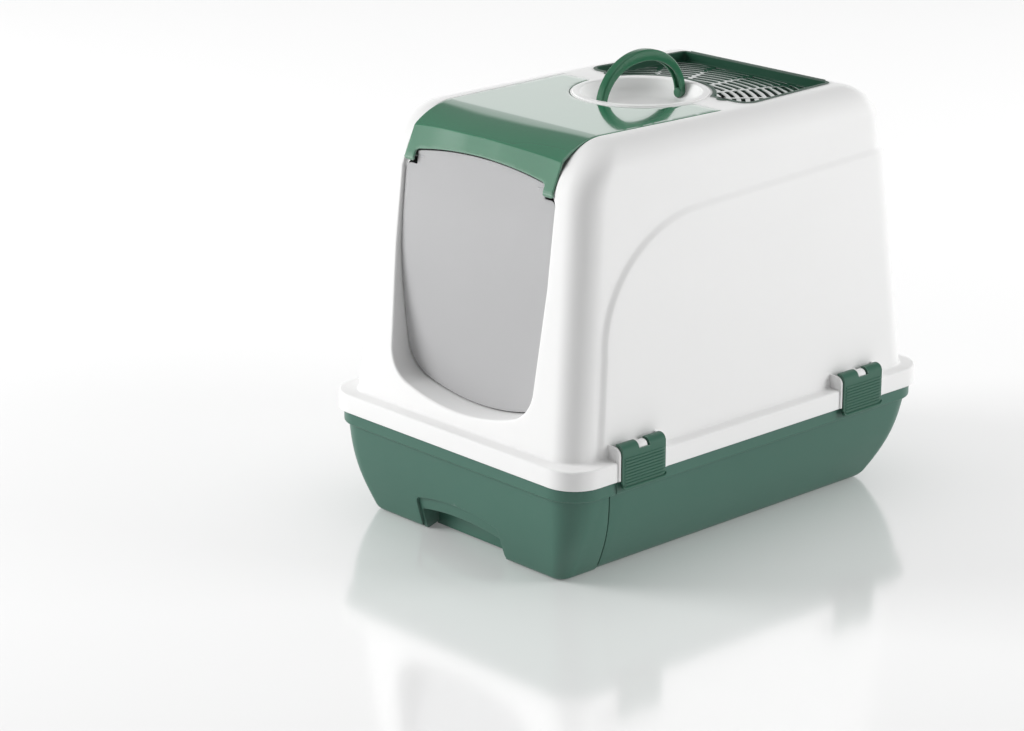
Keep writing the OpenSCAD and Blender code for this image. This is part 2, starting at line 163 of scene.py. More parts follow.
def half_ring(along, half_w, front, back, r):
    """The right half of a rounded rectangle; along runs from the front's middle to the back's."""
    station = np.interp(along, corners_at, np.arange(6.0))
    leg = np.clip(np.floor(station), 0, 4)
    part = station - leg
    turn = part * np.pi / 2
    x = np.select([leg == 0, leg == 1, leg == 2, leg == 3],
                  [part * (half_w - r), half_w - r + r * np.sin(turn), half_w + 0 * part,
                   half_w - r + r * np.cos(turn)], (1 - part) * (half_w - r))
    y = np.select([leg == 0, leg == 1, leg == 2, leg == 3],
                  [front + 0 * part, front + r - r * np.cos(turn),
                   front + r + part * (back - front - 2 * r), back - r + r * np.sin(turn)],
                  back + 0 * part)
    return x, y


def rolled_in(z, r):
    """How far a roll of this radius has turned in from the wall at a height."""
    rise = np.clip(z - hood_top + r, 0, r)
    return r - np.sqrt(r * r - rise * rise)


def corner_at(z):
    """The upright corners tighten as the walls roll over into the top."""
    return corner_r - 0.6 * rolled_in(z, side_roll)


def wall_z(up):
    """The height reached at a distance up the wall, measured over the front roll."""
    return np.where(up < roll_start, rim_top + up,
                    hood_top - front_roll
                    + front_roll * np.sin(np.clip((up - roll_start) / front_roll, 0, np.pi / 2)))


def hood_wall(along, up):
    """The bare wall and roll of the hood, without its raised panel."""
    along, up = np.broadcast_arrays(np.asarray(along, float), np.asarray(up, float))
    z = wall_z(up)
    rise = z - rim_top
    x, y = half_ring(along, wall_half_w - side_lean * rise - rolled_in(z, side_roll),
                     wall_front + front_lean * rise + rolled_in(z, front_roll),
                     wall_back - back_lean * rise - rolled_in(z, back_roll), corner_at(z))
    return np.stack([x, y, z], axis=-1)


def up_at(z):
    """How far up the wall a height is reached."""
    z = np.asarray(z, float)
    turn = np.arcsin(np.clip((z - hood_top + front_roll) / front_roll, 0, 1))
    return np.where(z < hood_top - front_roll, z - rim_top, roll_start + front_roll * turn)


def along_at_front(x, z):
    """The place along the wall of a point given in front view."""
    x, z = np.broadcast_arrays(np.asarray(x, float), np.asarray(z, float))
    half_w = wall_half_w - side_lean * (z - rim_top) - rolled_in(z, side_roll)
    r = corner_at(z)
    turn = np.arcsin(np.clip((x - half_w + r) / r, 0, 1))
    return np.where(x < half_w - r, x / (half_w - r) * legs[0],
                    legs[0] + turn / (np.pi / 2) * legs[1])


def arc(cx, cy, r, start, stop, steps):
    """Points along an arc, between two angles in degrees."""
    turn = np.radians(np.linspace(start, stop, steps + 1))
    return np.stack([cx + r * np.cos(turn), cy + r * np.sin(turn)], axis=1)


def line(start, stop, steps):
    """Points along a straight line, both ends included."""
    part = np.linspace(0, 1, steps + 1)[:, None]
    return (1 - part) * np.array(start, float) + part * np.array(stop, float)


def join(*runs):
    """Runs of points end to end, without repeated points."""
    points = np.concatenate(runs)
    keep = np.ones(len(points), bool)
    keep[1:] = np.linalg.norm(np.diff(points, axis=0), axis=1) > 1e-4
    return points[keep]


def inside(points, loop):
    """True for each point inside a closed outline."""
    x, y = points[:, :1], points[:, 1:]
    x0, y0 = loop[:, 0], loop[:, 1]
    x1, y1 = np.roll(x0, -1), np.roll(y0, -1)
    rise = np.where(y1 == y0, 1e-12, y1 - y0)
    crosses = ((y0 > y) != (y1 > y)) & (x < x0 + (y - y0) / rise * (x1 - x0))
    return crosses.sum(axis=1) % 2 == 1


def distance(points, run):
    """Distance of each point from a run of straight pieces."""
    start, step = run[:-1], np.diff(run, axis=0)
    best = np.full(len(points), 1e9)
    for a, d in zip(start, step):
        part = np.clip(((points - a) @ d) / max(d @ d, 1e-12), 0, 1)
        best = np.minimum(best, np.linalg.norm(points - a - part[:, None] * d, axis=1))
    return best


def lattice(a, b):
    """Every pairing of two sets of places, as flat points."""
    return np.stack(np.meshgrid(a, b), axis=-1).reshape(-1, 2)


def cut_sheet(loops, keep, seeds, runs=(), clear=1.6):
    """Triangles over flat outlines: through every loop and run, with seed points between them."""
    seeds = seeds[keep(seeds)]
    for run in [join(loop, loop[:1]) for loop in loops] + list(runs):
        seeds = seeds[distance(seeds, run) > clear]
    points, edges = [], []
    for loop in loops:
        first = len(points)
        points += loop.tolist()
        edges += [(first + i, first + (i + 1) % len(loop)) for i in range(len(loop))]
    for run in runs:
        first = len(points)
        points += run.tolist()
        edges += [(first + i, first + i + 1) for i in range(len(run) - 1)]
    points += seeds.tolist()
    flat, _, faces, _, _, _ = delaunay_2d_cdt(points, edges, [], 0, 1e-4)
    flat = np.array([tuple(p) for p in flat])
    faces = np.array(faces)
    middle = flat[faces].mean(axis=1)
    faces = faces[keep(middle)]
    used, faces = np.unique(faces, return_inverse=True)
    return flat[used], faces.reshape(-1, 3)


def fill(loop, seeds, runs=(), clear=1.6):
    """Triangles inside one flat outline."""
    return cut_sheet([loop], lambda q: inside(q, loop), seeds, runs, clear)


def weld(*sheets):
    """Join sheets of triangles along the points that they share."""
    points = np.concatenate([p for p, f in sheets])
    first = np.cumsum([0] + [len(p) for p, f in sheets[:-1]])
    faces = np.concatenate([f + n for (p, f), n in zip(sheets, first)])
    _, index, inverse = np.unique(np.round(points, 2) + 0.0, axis=0, return_index=True,
                                  return_inverse=True)
    faces = inverse.reshape(-1)[faces]
    good = (faces[:, 0] != faces[:, 1]) & (faces[:, 1] != faces[:, 2]) & (faces[:, 0] != faces[:, 2])
    return points[index], faces[good]


def both_sides(points, faces):
    """A right half and its mirror image, joined along the middle plane."""
    points = points.copy()
    points[np.abs(points[:, 0]) < 0.02, 0] = 0
    return weld((points, faces), (points * (-1, 1, 1), faces[:, ::-1]))


def unit(v):
    """Vectors of length one."""
    return v / np.maximum(np.linalg.norm(v, axis=-1, keepdims=True), 1e-12)


def point_normals(points, faces):
    """The outward direction at each point of a sheet of triangles."""
    a, b, c = (points[faces[:, i]] for i in range(3))
    face_normals = np.cross(b - a, c - a)
    total = np.zeros_like(points)
    for i in range(3):
        np.add.at(total, faces[:, i], face_normals)
    return unit(total)


def free_edges(faces):
    """Closed chains of the edges that only one face has."""
    pairs = {(a, b) for f in faces.tolist() for a, b in zip(f, f[1:] + f[:1])}
    follow = {a: b for a, b in pairs if (b, a) not in pairs}
    chains = []
    while follow:
        start, here = follow.popitem()
        chain = [start]
        while here != start:
            chain.append(here)
            here = follow.pop(here)
        chains.append(np.array(chain))
    return chains


def shell(points, faces, thick, edge):
    """A sheet with thickness; edge gives the rows of points that turn each free edge inwards."""
    normals = point_normals(points, faces)
    count = len(points)
    all_points = [points, points - thick * normals]
    all_faces = faces.tolist() + (faces[:, ::-1] + count).tolist()
    total = 2 * count
    for chain in free_edges(faces):
        p, n = points[chain], normals[chain]
        ahead = unit(np.roll(p, -1, axis=0) - p)
        behind = np.roll(ahead, 1, axis=0)
        out = unit(unit(np.cross(ahead, n)) + unit(np.cross(behind, n)))
        out = out / np.maximum((out * unit(np.cross(ahead, n))).sum(axis=1), 0.6)[:, None]
        rows = [chain]
        for row in edge(p, n, out):
            all_points.append(row)
            rows.append(np.arange(total, total + len(chain)))
            total += len(chain)
        rows.append(chain + count)
        for a, b in zip(rows, rows[1:]):
            a1, b1 = np.roll(a, -1), np.roll(b, -1)
            all_faces += np.stack([a1, a, b, b1], axis=1).tolist()
    return np.concatenate(all_points), all_faces


def bend(p, n, out, r, steps=4):
    """Rows of points that turn an edge inwards over a small radius."""
    turns = np.linspace(0, np.pi / 2, steps + 1)[1:]
    return [p + r * np.sin(t) * out - r * (1 - np.cos(t)) * n for t in turns]


def round_edge(r, depth, steps=4):
    """The usual moulded edge: a small radius, then straight down."""
    def rows(p, n, out):
        return bend(p, n, out, r, steps) + [p + r * out - depth * n]
    return rows


def loft(rings, closed=False):
    """A skin over rings of points; closed joins the last ring to the first, else its ends are capped."""
    n = len(rings[0])
    count = len(rings)
    faces = []
    for k in range(count if closed else count - 1):
        a, b = k * n, (k + 1) % count * n
        faces += [(a + i, a + (i + 1) % n, b + (i + 1) % n, b + i) for i in range(n)]
    if not closed:
        faces.append(tuple(range(n))[::-1])
        faces.append(tuple(range((count - 1) * n, count * n)))
    return np.concatenate(rings), faces


def inside_out(points, faces):
    """The same skin, with its faces turned the other way."""
    return points, [face[::-1] for face in faces]


def full_ring(half):
    """A closed ring from its right half, from the front's middle round to the back's."""
    left = half[-2:0:-1] * (-1, 1, 1)
    return np.concatenate([half, left])


sharp_from = 40                                    # degrees between faces that meet in a sharp edge


def piece(name, parts, finish, body, stands_for):
    """One object from lists of (points in millimetres, faces), smooth, on its body."""
    points, faces, first = [], [], 0
    for p, f in parts:
        points.append(p)
        faces += [tuple(int(i) + first for i in face) for face in f]
        first += len(p)
    mesh = bpy.data.meshes.new(name)
    mesh.from_pydata((np.concatenate(points) / 1000).tolist(), [], faces)
    mesh.validate()
    for polygon in mesh.polygons:
        polygon.use_smooth = True
    mesh.set_sharp_from_angle(angle=np.radians(sharp_from))
    mesh.materials.append(finish)
    made = bpy.data.objects.new(name, mesh)
    bpy.context.collection.objects.link(made)
    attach(made, body)
    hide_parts(*stands_for)
    return made


def moulded_plastic(name, colour, rough, grain=900, grain_depth=0.00002, edge_wear_and_highlight=0.25, alpha=1.0,
                    coat=0.0, drift=0.04, level=0.5):
    """Injection-moulded plastic: slow drift in the resin, fine tool grain, and paler edges that are
    partly rubbed wear and partly a painted highlight.
    """
    finish = bpy.data.materials.new(name)
    finish.use_nodes = True
    nodes, links = finish.node_tree.nodes, finish.node_tree.links
    shader = nodes["Principled BSDF"]
    shader.inputs["Alpha"].default_value = alpha
    shader.inputs["Coat Weight"].default_value = coat
    shader.inputs["Coat Roughness"].default_value = 0.05
    shader.inputs["Coat IOR"].default_value = 2.1
    shader.inputs["Specular IOR Level"].default_value = level
    coords = nodes.new("ShaderNodeTexCoord")
    slow = nodes.new("ShaderNodeTexNoise")
    slow.inputs["Scale"].default_value = 7
    slow.inputs["Detail"].default_value = 3
    links.new(coords.outputs["Object"], slow.inputs["Vector"])
    resin = nodes.new("ShaderNodeValToRGB")
    resin.color_ramp.elements[0].position = 0.35
    resin.color_ramp.elements[1].position = 0.65
    resin.color_ramp.elements[0].color = tuple(c * (1 - drift) for c in colour[:3]) + (1,)
    resin.color_ramp.elements[1].color = tuple(min(1, c * (1 + drift)) for c in colour[:3]) + (1,)
    links.new(slow.outputs["Fac"], resin.inputs["Fac"])
    # Paler edges from Pointiness: partly rubbed wear, partly a painted highlight along rounded rims.
    geometry = nodes.new("ShaderNodeNewGeometry")
    edges = nodes.new("ShaderNodeMapRange")
    edges.inputs["From Min"].default_value = 0.52
    edges.inputs["From Max"].default_value = 0.62
    edges.inputs["To Max"].default_value = edge_wear_and_highlight
    links.new(geometry.outputs["Pointiness"], edges.inputs["Value"])
    wear_and_highlight_mix = nodes.new("ShaderNodeMix")
    wear_and_highlight_mix.data_type = "RGBA"
    pale = tuple(c + (1 - c) * 0.35 for c in colour[:3]) + (1,)
    wear_and_highlight_mix.inputs["B"].default_value = pale
    links.new(edges.outputs["Result"], wear_and_highlight_mix.inputs["Factor"])
    links.new(resin.outputs["Color"], wear_and_highlight_mix.inputs["A"])
    links.new(wear_and_highlight_mix.outputs["Result"], shader.inputs["Base Color"])
    fine = nodes.new("ShaderNodeTexNoise")
    fine.inputs["Scale"].default_value = grain
    fine.inputs["Detail"].default_value = 2
    links.new(coords.outputs["Object"], fine.inputs["Vector"])
    handled = nodes.new("ShaderNodeTexNoise")
    handled.inputs["Scale"].default_value = 22
    handled.inputs["Detail"].default_value = 5
    links.new(coords.outputs["Object"], handled.inputs["Vector"])
    sheen = nodes.new("ShaderNodeMapRange")
    sheen.inputs["From Min"].default_value = 0.3
    sheen.inputs["From Max"].default_value = 0.7
    sheen.inputs["To Min"].default_value = rough * 0.93
    sheen.inputs["To Max"].default_value = rough * 1.07
    links.new(handled.outputs["Fac"], sheen.inputs["Value"])
    links.new(sheen.outputs["Result"], shader.inputs["Roughness"])
    bump = nodes.new("ShaderNodeBump")
    bump.inputs["Strength"].default_value = 0.5
    bump.inputs["Distance"].default_value = grain_depth
    links.new(fine.outputs["Fac"], bump.inputs["Height"])
    links.new(bump.outputs["Normal"], shader.inputs["Normal"])
    return finish


hood_white = moulded_plastic("hood_white", (0.84, 0.84, 0.836, 1), 0.3, edge_wear_and_highlight=0.0, drift=0.004)

# points along the wall, most of them on the side, and up it
columns = np.concatenate([np.linspace(corners_at[i], corners_at[i + 1], n, endpoint=False)
                          for i, n in enumerate((24, 14, 84, 14, 24))] + [[half_way]])
rows_up = np.concatenate([np.linspace(0, roll_start, 46, endpoint=False),
                          np.linspace(roll_start, wall_height, 24)])

# the raised panel: how far it stands out at the sides and back, the width of its slope, and its edge
panel_side, panel_back, panel_step = 3.5, 5.5, 9.0
panel_front_y, panel_bend_y, panel_bend_z = -206, -60, 235
panel_top_front, panel_top_back = 366, 376.5


def along_at_side(y, z):
    """The place along the wall of a point given in side view."""
    rise = z - rim_top
    front = wall_front + front_lean * rise + corner_r
    back = wall_back - back_lean * rise - corner_r
    return corners_at[2] + (y - front) / (back - front) * legs[2]


panel_turn = np.radians(np.linspace(180, 90, 46))
panel_bend = np.stack([panel_bend_y + (panel_bend_y - panel_front_y) * np.cos(panel_turn),
                       panel_bend_z + (panel_top_front - panel_bend_z) * np.sin(panel_turn)], axis=1)
panel_view = join(line((panel_front_y - 13, rim_top - 12), (panel_front_y, panel_bend_z), 26),
                  panel_bend,
                  line((panel_bend_y, panel_top_front), (198, panel_top_back), 44))
panel_edge = np.stack([along_at_side(panel_view[:, 0], panel_view[:, 1]),
                       panel_view[:, 1] - rim_top], axis=1)
panel_back_up = panel_top_back + 0.5 - rim_top
panel_edge = join(panel_edge, line(panel_edge[-1], (half_way, panel_back_up), 42))


def offset_run(run, d):
    """A run of points moved sideways."""
    step = unit(np.gradient(run, axis=0))
    return run + d * np.stack([-step[:, 1], step[:, 0]], axis=1)


def panel_lift(along, up):
    """How far the raised panel stands out at each place on the wall."""
    flat = np.stack([along, up], axis=1)
    past = half_way + 50
    region = join(panel_edge, np.array([[past, panel_back_up], [past, -60], [panel_edge[0, 0], -60]]))
    away = distance(flat, panel_edge) * np.where(inside(flat, region), 1, -1)
    part = np.clip(away / panel_step + 0.5, 0, 1)
    part = part * part * (3 - 2 * part)
    back_part = np.clip((along - corners_at[3]) / legs[3], 0, 1)
    return part * (panel_side + (panel_back - panel_side) * back_part)


def wall_out(along, up):
    """The level direction away from the wall at each place on it."""
    ahead = hood_wall(np.minimum(along + 0.5, half_way), up) - hood_wall(np.maximum(along - 0.5, 0), up)
    return unit(np.stack([ahead[:, 1], -ahead[:, 0], 0 * ahead[:, 0]], axis=1))


def hood_face(along, up):
    """The hood's real outer face, with its raised panel."""
    return hood_wall(along, up) + wall_out(along, up) * panel_lift(along, up)[:, None]


# the way in: the door opening, and above it the gap that the visor closes
door_sill = 148
sill_r, sill_turn = 273, 17.3                      # the sill is a shallow arc up to the corners
door_corner_r, door_corner_z = 38, 48.7
door_low_half, door_high_half = 108, 114
door_upright_z = 300                               # above this the door's sides are upright
visor_gap = 1.0
edge_r = 0.9
door_r = 2.4
dish_y = 10.5
visor_cut_r = 76
visor_back = 9
visor_low = 396                                    # the visor's foot at its sides


def door_view(grow, top):
    """Right half of the door opening in front view, from the sill's middle up."""
    return join(arc(0, door_sill + sill_r, sill_r + grow, -90, sill_turn - 90, 14),
                arc(door_low_half - door_corner_r, door_sill + door_corner_z, door_corner_r + grow,
                    sill_turn - 90, 0, 14),
                line((door_low_half + grow, door_sill + 49),
                     (door_high_half + grow, door_upright_z), 18),
                line((door_high_half + grow, door_upright_z), (door_high_half + grow, top), 16))


def visor_side_x(y):
    """The visor widens a little towards its rear edge."""
    return np.interp(y, (-300, -175, visor_back), (112, 110.5, 117))


def visor_side_run(grow, low, steps):
    """The visor's side edge as places along and up the wall, from z = low up to the flat top."""
    up = np.linspace(up_at(low), wall_height, steps)
    x = np.full(steps, 112.0)
    for _ in range(4):
        place = hood_wall(along_at_front(x + grow, wall_z(up)), up)
        x = visor_side_x(place[:, 1])
    return np.stack([along_at_front(x + grow, wall_z(up)), up], axis=1)


door_run = door_view(door_r, 384)
door_run = np.stack([along_at_front(door_run[:, 0], door_run[:, 1]), up_at(door_run[:, 1])], axis=1)
visor_run = visor_side_run(visor_gap + edge_r, visor_low, 36)
opening = join(door_run, visor_run)
roof_along = opening[-1, 0]
roof_columns = columns[columns > roof_along + 1.5]
bottom_run = np.stack([columns, 0 * columns], axis=1)
back_run = np.stack([0 * rows_up + half_way, rows_up], axis=1)
roof_run = np.stack([roof_columns[::-1], 0 * roof_columns + wall_height], axis=1)
middle_run = line((0, up_at(door_sill) - door_r), (0, 0), 3)
wall_loop = join(bottom_run, back_run, roof_run, opening[::-1], middle_run)[:-1]
panel_runs = [offset_run(panel_edge, d) for d in np.linspace(-0.5, 0.5, 7) * panel_step]
panel_runs = [run[(run[:, 1] > 2) & (run[:, 0] < half_way - 1)] for run in panel_runs]
flat_wall, wall_faces = fill(wall_loop, lattice(columns, rows_up), panel_runs)
wall_points = hood_face(flat_wall[:, 0], flat_wall[:, 1])


vent_arc_r = 77.5                                  # the vent follows the dish's ring
vent_front, vent_back = 48, 187
vent_corner_x, vent_front_r, vent_back_r = 102, 14, 6


def vent_view(grow):
    """Right half of the vent's outline in plan, from its front middle round to its rear middle."""
    r = vent_arc_r - grow
    front, back = vent_front - grow, vent_back + grow
    front_corner_y, back_corner_y = vent_front + vent_front_r, vent_back - vent_back_r
    turn = np.degrees(np.arcsin((front - dish_y) / r))
    return join(arc(0, dish_y, r, 90, turn, 26),
                line((r * np.cos(np.radians(turn)), front), (vent_corner_x, front), 3),
                arc(vent_corner_x, front_corner_y, vent_front_r + grow, -90, 0, 10),
                line((vent_corner_x + vent_front_r + grow, front_corner_y),
                     (vent_corner_x + vent_back_r + grow, back_corner_y), 14),
                arc(vent_corner_x, back_corner_y, vent_back_r + grow, 0, 90, 6),
                line((vent_corner_x, back), (0, back), 14))


roof_edge = hood_wall(np.concatenate([[roof_along], roof_columns]), wall_height)[:, :2]
side_y = np.linspace(visor_back + visor_gap + 0.4 + edge_r, roof_edge[0, 1], 30)
side_run = np.stack([visor_side_x(side_y) + visor_gap + edge_r, side_y], axis=1)
cut_r = visor_cut_r - visor_gap - edge_r
cut_turn = np.degrees(np.arcsin((side_y[0] - dish_y) / cut_r))
hole_r = 71
vent_hole = vent_view(1.6)
roof_loop = join(roof_edge, line((0, roof_edge[-1, 1]), vent_hole[-1], 1), vent_hole[::-1],
                 line(vent_hole[0], (0, dish_y + hole_r), 2), arc(0, dish_y, hole_r, 90, -90, 48),
                 arc(0, dish_y, cut_r, -90, cut_turn, 40),
                 line((cut_r * np.cos(np.radians(cut_turn)), side_y[0]), side_run[0], 8), side_run)[:-1]
roof_grid = lattice(np.arange(3, 130, 7.0), np.arange(-160, 195, 7.0))
flat_roof, roof_faces = fill(roof_loop, roof_grid)
roof_points = np.column_stack([flat_roof, np.full(len(flat_roof), float(hood_top))])
hood_points, hood_faces = both_sides(*weld((wall_points, wall_faces), (roof_points, roof_faces)))
flange_y = -217.5                                  # how far in the door's flange reaches
well_foot = 418                                    # the foot of the well under the vent cover
ledge_wide = 7.0                                   # the ledge that the visor closes on


def hood_edge(p, n, out):
    """How each free edge of the hood is finished."""
    down = np.array((0, 0, -1.0))
    if p[:, 2].max() < rim_top + 7:                # foot, hidden in the rim
        return [p + 2 * down, p + 2 * down - 2 * n]
    if p[:, 1].min() > vent_front - 8:             # well under the vent cover
        rows = round_edge(0.6, 1.4)(p, n, out)
        foot = rows[-1].copy()
        foot[:, 2] = well_foot
        return rows + [foot, foot - 2.4 * out, rows[-1] - 2.4 * out - 1.2 * n]
    if np.hypot(p[:, 0], p[:, 1] - dish_y).max() < hole_r + 2:
        return round_edge(edge_r, 2.4)(p, n, out)
    door = np.clip((visor_low - 4 - p[:, 2:]) / 12, 0, 1)  # 1 round the door, 0 round the visor
    r = edge_r + (door_r - edge_r) * door
    into = unit(-n * (1 - door) + np.array((0, 1.0, 0)) * door)
    depth = np.maximum(3.4, (flange_y - p[:, 1:2]) * door)
    turns = np.linspace(0, np.pi / 2, 7)[1:]
    rows = [p + r * np.sin(t) * out + r * (1 - np.cos(t)) * into for t in turns]
    ledge = ledge_wide * (1 - door) * np.clip((-4 - p[:, 1:2]) / 4, 0, 1)
    rows.append(p + r * out + depth * into)
    rows.append(rows[-1] + ledge * out + 0.3 * into)
    rows.append(rows[-1] + 0.6 * door * into - 1.1 * door * out + 2.0 * (1 - door) * into)
    rows.append(p - (1.1 * door) * out + np.maximum(3.6, depth * door + 0.9) * into)
    return rows


hood_parts = [shell(hood_points, hood_faces, 2.6, hood_edge)]


def rim_ring(inset, z):
    """A level ring inside the rim's outline."""
    x, y = half_ring(columns, rim_half_w - inset, inset - rim_half_l, rim_half_l - inset, 36 - inset)
    return full_ring(np.column_stack([x, y, 0 * x + z]))


def foot_ring(out, z):
    """The ring where the hood's wall stands on its rim, moved out by a little."""
    ring = hood_face(columns, 0 * columns + 3.2) + wall_out(columns, 0) * out
    ring[:, 2] = z
    return full_ring(ring)


fillet = 3.0
turns = np.radians(np.linspace(0, 90, 7))
rim_r, rim_foot_r = 2.6, 0.8
rim_rings = [foot_ring(fillet * (1 - np.cos(t)) - 0.05, rim_top + fillet * (1 - np.sin(t)))
             for t in turns]
rim_rings += [rim_ring(rim_r * (1 - np.sin(t)), rim_top - rim_r * (1 - np.cos(t))) for t in turns]
rim_rings += [rim_ring(0, rim_foot + rim_foot_r)]
rim_rings += [rim_ring(rim_foot_r * (1 - np.cos(t)), rim_foot + rim_foot_r * (1 - np.sin(t)))
              for t in turns[::2]]
rim_rings += [rim_ring(2.6, rim_foot + 0.3), rim_ring(2.8, rim_top - 3), foot_ring(-2.6, rim_top - 3),
              foot_ring(-2.6, rim_top + fillet)]
hood_parts.append(inside_out(*loft(rim_rings, closed=True)))

# Two cheeks carry each latch's axle, and a hook between them fills the latch's notch.
axle_x = rim_half_w - 4.5
axle_z = rim_top + 9.5
latch_length = 61.5
latch_places = {"front": -174, "rear": 158}


def outline_out(view):
    """The direction out of an outline at each of its points."""
    ahead = unit(np.roll(view, -1, axis=0) - np.roll(view, 1, axis=0))
    return np.stack([ahead[:, 1], -ahead[:, 0]], axis=1)


def slab(view, start, stop, r=0.5, in_plan=False):
    """A plate with small round edges, cut from an outline in front view or in plan."""
    rings = []
    for depth, inset in ((start, r), (start + r * 0.3, r * 0.3), (start + r, 0),
                         (stop - r, 0), (stop - r * 0.3, r * 0.3), (stop, r)):
        flat = view - outline_out(view) * inset
        level = np.full(len(flat), float(depth))
        rings.append(np.column_stack([flat, level] if in_plan else [flat[:, 0], level, flat[:, 1]]))
    return loft(rings)


cheek_in, cheek_out, cheek_top = 176.2, rim_half_w + 1.8, rim_top + 15
cheek_r = 8
cheek_half, cheek_off = 1.25, 1.75                 # half its thickness, its middle from the latch's end
hook_half = 6
cheek_view = join(line((178, rim_top - 1), (rim_half_w - 3, rim_top - 1), 4),
                  line((rim_half_w - 3, rim_foot + 1), (cheek_out, rim_foot + 1), 2),
                  line((cheek_out, rim_foot + 1), (cheek_out, rim_top + 5), 8),
                  arc(cheek_out - cheek_r, cheek_top - cheek_r, cheek_r, 0, 90, 12),
                  line((cheek_out - cheek_r, cheek_top), (cheek_in, cheek_top), 4),
                  line((cheek_in, cheek_top), (cheek_in, rim_top - 1), 4))
hook_view = join(arc(axle_x, axle_z, 6.3, -4, 150, 20),
                 line((cheek_in, axle_z + 4.5), (cheek_in, axle_z + 2.4), 1),
                 arc(axle_x, axle_z, 3.0, 150, -4, 14))
latch_holds = []
for place in latch_places.values():
    for side in (-1, 1):
        cheek_y = place + side * (latch_length / 2 + cheek_off)
        latch_holds.append(slab(cheek_view, cheek_y - cheek_half, cheek_y + cheek_half))
    latch_holds.append(slab(hook_view, place - hook_half, place + hook_half))
hood_parts += latch_holds + [inside_out(p * (-1, 1, 1), faces) for p, faces in latch_holds]
piece("hood", hood_parts, hood_white, "hood", ("hood_shell",))

# Visor: a glossy green moulding that closes the front of the hood's top and hangs on two pins.
# Its brow stands a little proud over the door, with a crease where the face turns down.


def srgb(r, g, b):
    """A colour from its display values."""
    c = np.array([r, g, b]) / 255
    return tuple(np.where(c < 0.04045, c / 12.92, ((c + 0.055) / 1.055) ** 2.4)) + (1,)


green_gloss = moulded_plastic("green_gloss", srgb(44, 116, 84), 0.13, grain_depth=0.000006,
                              edge_wear_and_highlight=0.12, drift=0.03, coat=1.0)
ear_foot = 391
ear_in, ear_out = 97, 108.5
arch_rise = 9
brow_half = 111
crease_out, brow_out = 14.0, 5.0                   # how far the band stands out, at its top and foot
brow_foot = 389                                    # where the band has run out into the ears


def crease_z(x):
    """The crease between roof and band sags a little towards the sides."""
    return 431 - 5 * (x / brow_half) ** 2


def front_y(z):
    """How far the hood's front has leaned back at a height."""
    return front_lean * (z - rim_top) + rolled_in(z, front_roll)


def visor_face(along, up):
    """The roll, with a flat band pressed forward between the crease and the arch."""
    place = hood_wall(along, up)
    x, z = place[:, 0], place[:, 2]
    width = np.clip((brow_half - x) / 90, 0, 1)
    width = 0.5 + 0.5 * width * width * (3 - 2 * width)
    crease = crease_z(x)
    low = float(visor_low)
    start = roll_start + front_roll * np.radians(86)
    rise = np.clip((start - up) / (start - up_at(crease)), 0, 1)
    part = np.clip((crease - z) / (crease - low), 0, 1)
    band_top = front_y(crease) - crease_out * width
    band_low = front_y(low) - brow_out * width
    band = band_top * (1 - part) + band_low * part
    foot = np.clip((z - brow_foot) / (low - brow_foot), 0, 1)
    out = np.where(z > crease, crease_out * width * rise,
                   np.where(z > low, front_y(z) - band, brow_out * width * foot * foot * (3 - 2 * foot)))
    place[:, 1] -= out
    return place


def arch_view(half, drop, steps):
    """Right half of the arch over the door, in front view, from its top outwards."""
    r = (ear_in ** 2 + arch_rise ** 2) / (2 * arch_rise)
    x = np.linspace(0, half, steps)
    return np.stack([x, ear_foot + 13 + arch_rise - drop - r + np.sqrt(r * r - x * x)], axis=1)


arch_half = ear_in - 2.5
ear_run = join(arch_view(arch_half, -edge_r, 30), arc(arch_half + 0.4, ear_foot + 10.5, 3.0, 80, 0, 6),
               line((ear_in + 1, ear_foot + 10), (ear_in + 1, ear_foot + 3), 3),
               arc(ear_in + 3, ear_foot + 3, 2, 180, 270, 4),
               line((ear_in + 3, ear_foot + 1), (ear_out, ear_foot + 1), 4),
               arc(ear_out, ear_foot + 3.5, 2.5, -90, 0, 4))
ear_run = np.stack([along_at_front(ear_run[:, 0], ear_run[:, 1]), up_at(ear_run[:, 1])], axis=1)
visor_side = visor_side_run(-edge_r, ear_foot + 4, 40)
visor_top_along = visor_side[-1, 0]
visor_top = np.stack([np.linspace(visor_top_along, 0, 26), np.full(26, wall_height)], axis=1)
visor_middle = line((0, wall_height), ear_run[0], 20)
visor_loop = join(ear_run, visor_side, visor_top, visor_middle)[:-1]
visor_rows = np.arange(up_at(392), wall_height, 3.0)
visor_grid = lattice(np.linspace(0, 190, 60), visor_rows)
crease_x = np.linspace(0, 109.5, 44)
crease_line = np.stack([along_at_front(crease_x, 428), up_at(crease_z(crease_x))], axis=1)
brow_runs = [crease_line + (0, d) for d in (-1.6, -0.45, 0.45, 1.6)]
flat_visor, visor_faces = fill(visor_loop, visor_grid, brow_runs, 1.0)
visor_wall_points = visor_face(flat_visor[:, 0], flat_visor[:, 1])

top_edge = hood_wall(visor_top[:, 0], wall_height)[:, :2]
top_side_y = np.linspace(visor_back - edge_r, top_edge[0, 1], 30)
top_side = np.stack([visor_side_x(top_side_y) - edge_r, top_side_y], axis=1)
top_cut_r = visor_cut_r + edge_r
top_turn = np.degrees(np.arcsin((top_side_y[0] - dish_y) / top_cut_r))
visor_roof_loop = join(top_edge[::-1], top_side[::-1],
                       line(top_side[0], (top_cut_r * np.cos(np.radians(top_turn)), top_side_y[0]), 8),
                       arc(0, dish_y, top_cut_r, top_turn, -90, 50),
                       line((0, dish_y - top_cut_r), (0, top_edge[-1, 1]), 10))[:-1]
flat_top, top_faces = fill(visor_roof_loop, roof_grid)
top_points = np.column_stack([flat_top, np.full(len(flat_top), float(hood_top))])
visor_sheet = both_sides(*weld((visor_wall_points, visor_faces), (top_points, top_faces)))
visor_parts = [shell(*visor_sheet, 2.4, round_edge(edge_r, 2.2))]
piece("visor_cover", visor_parts, green_gloss, "visor", ("visor",))
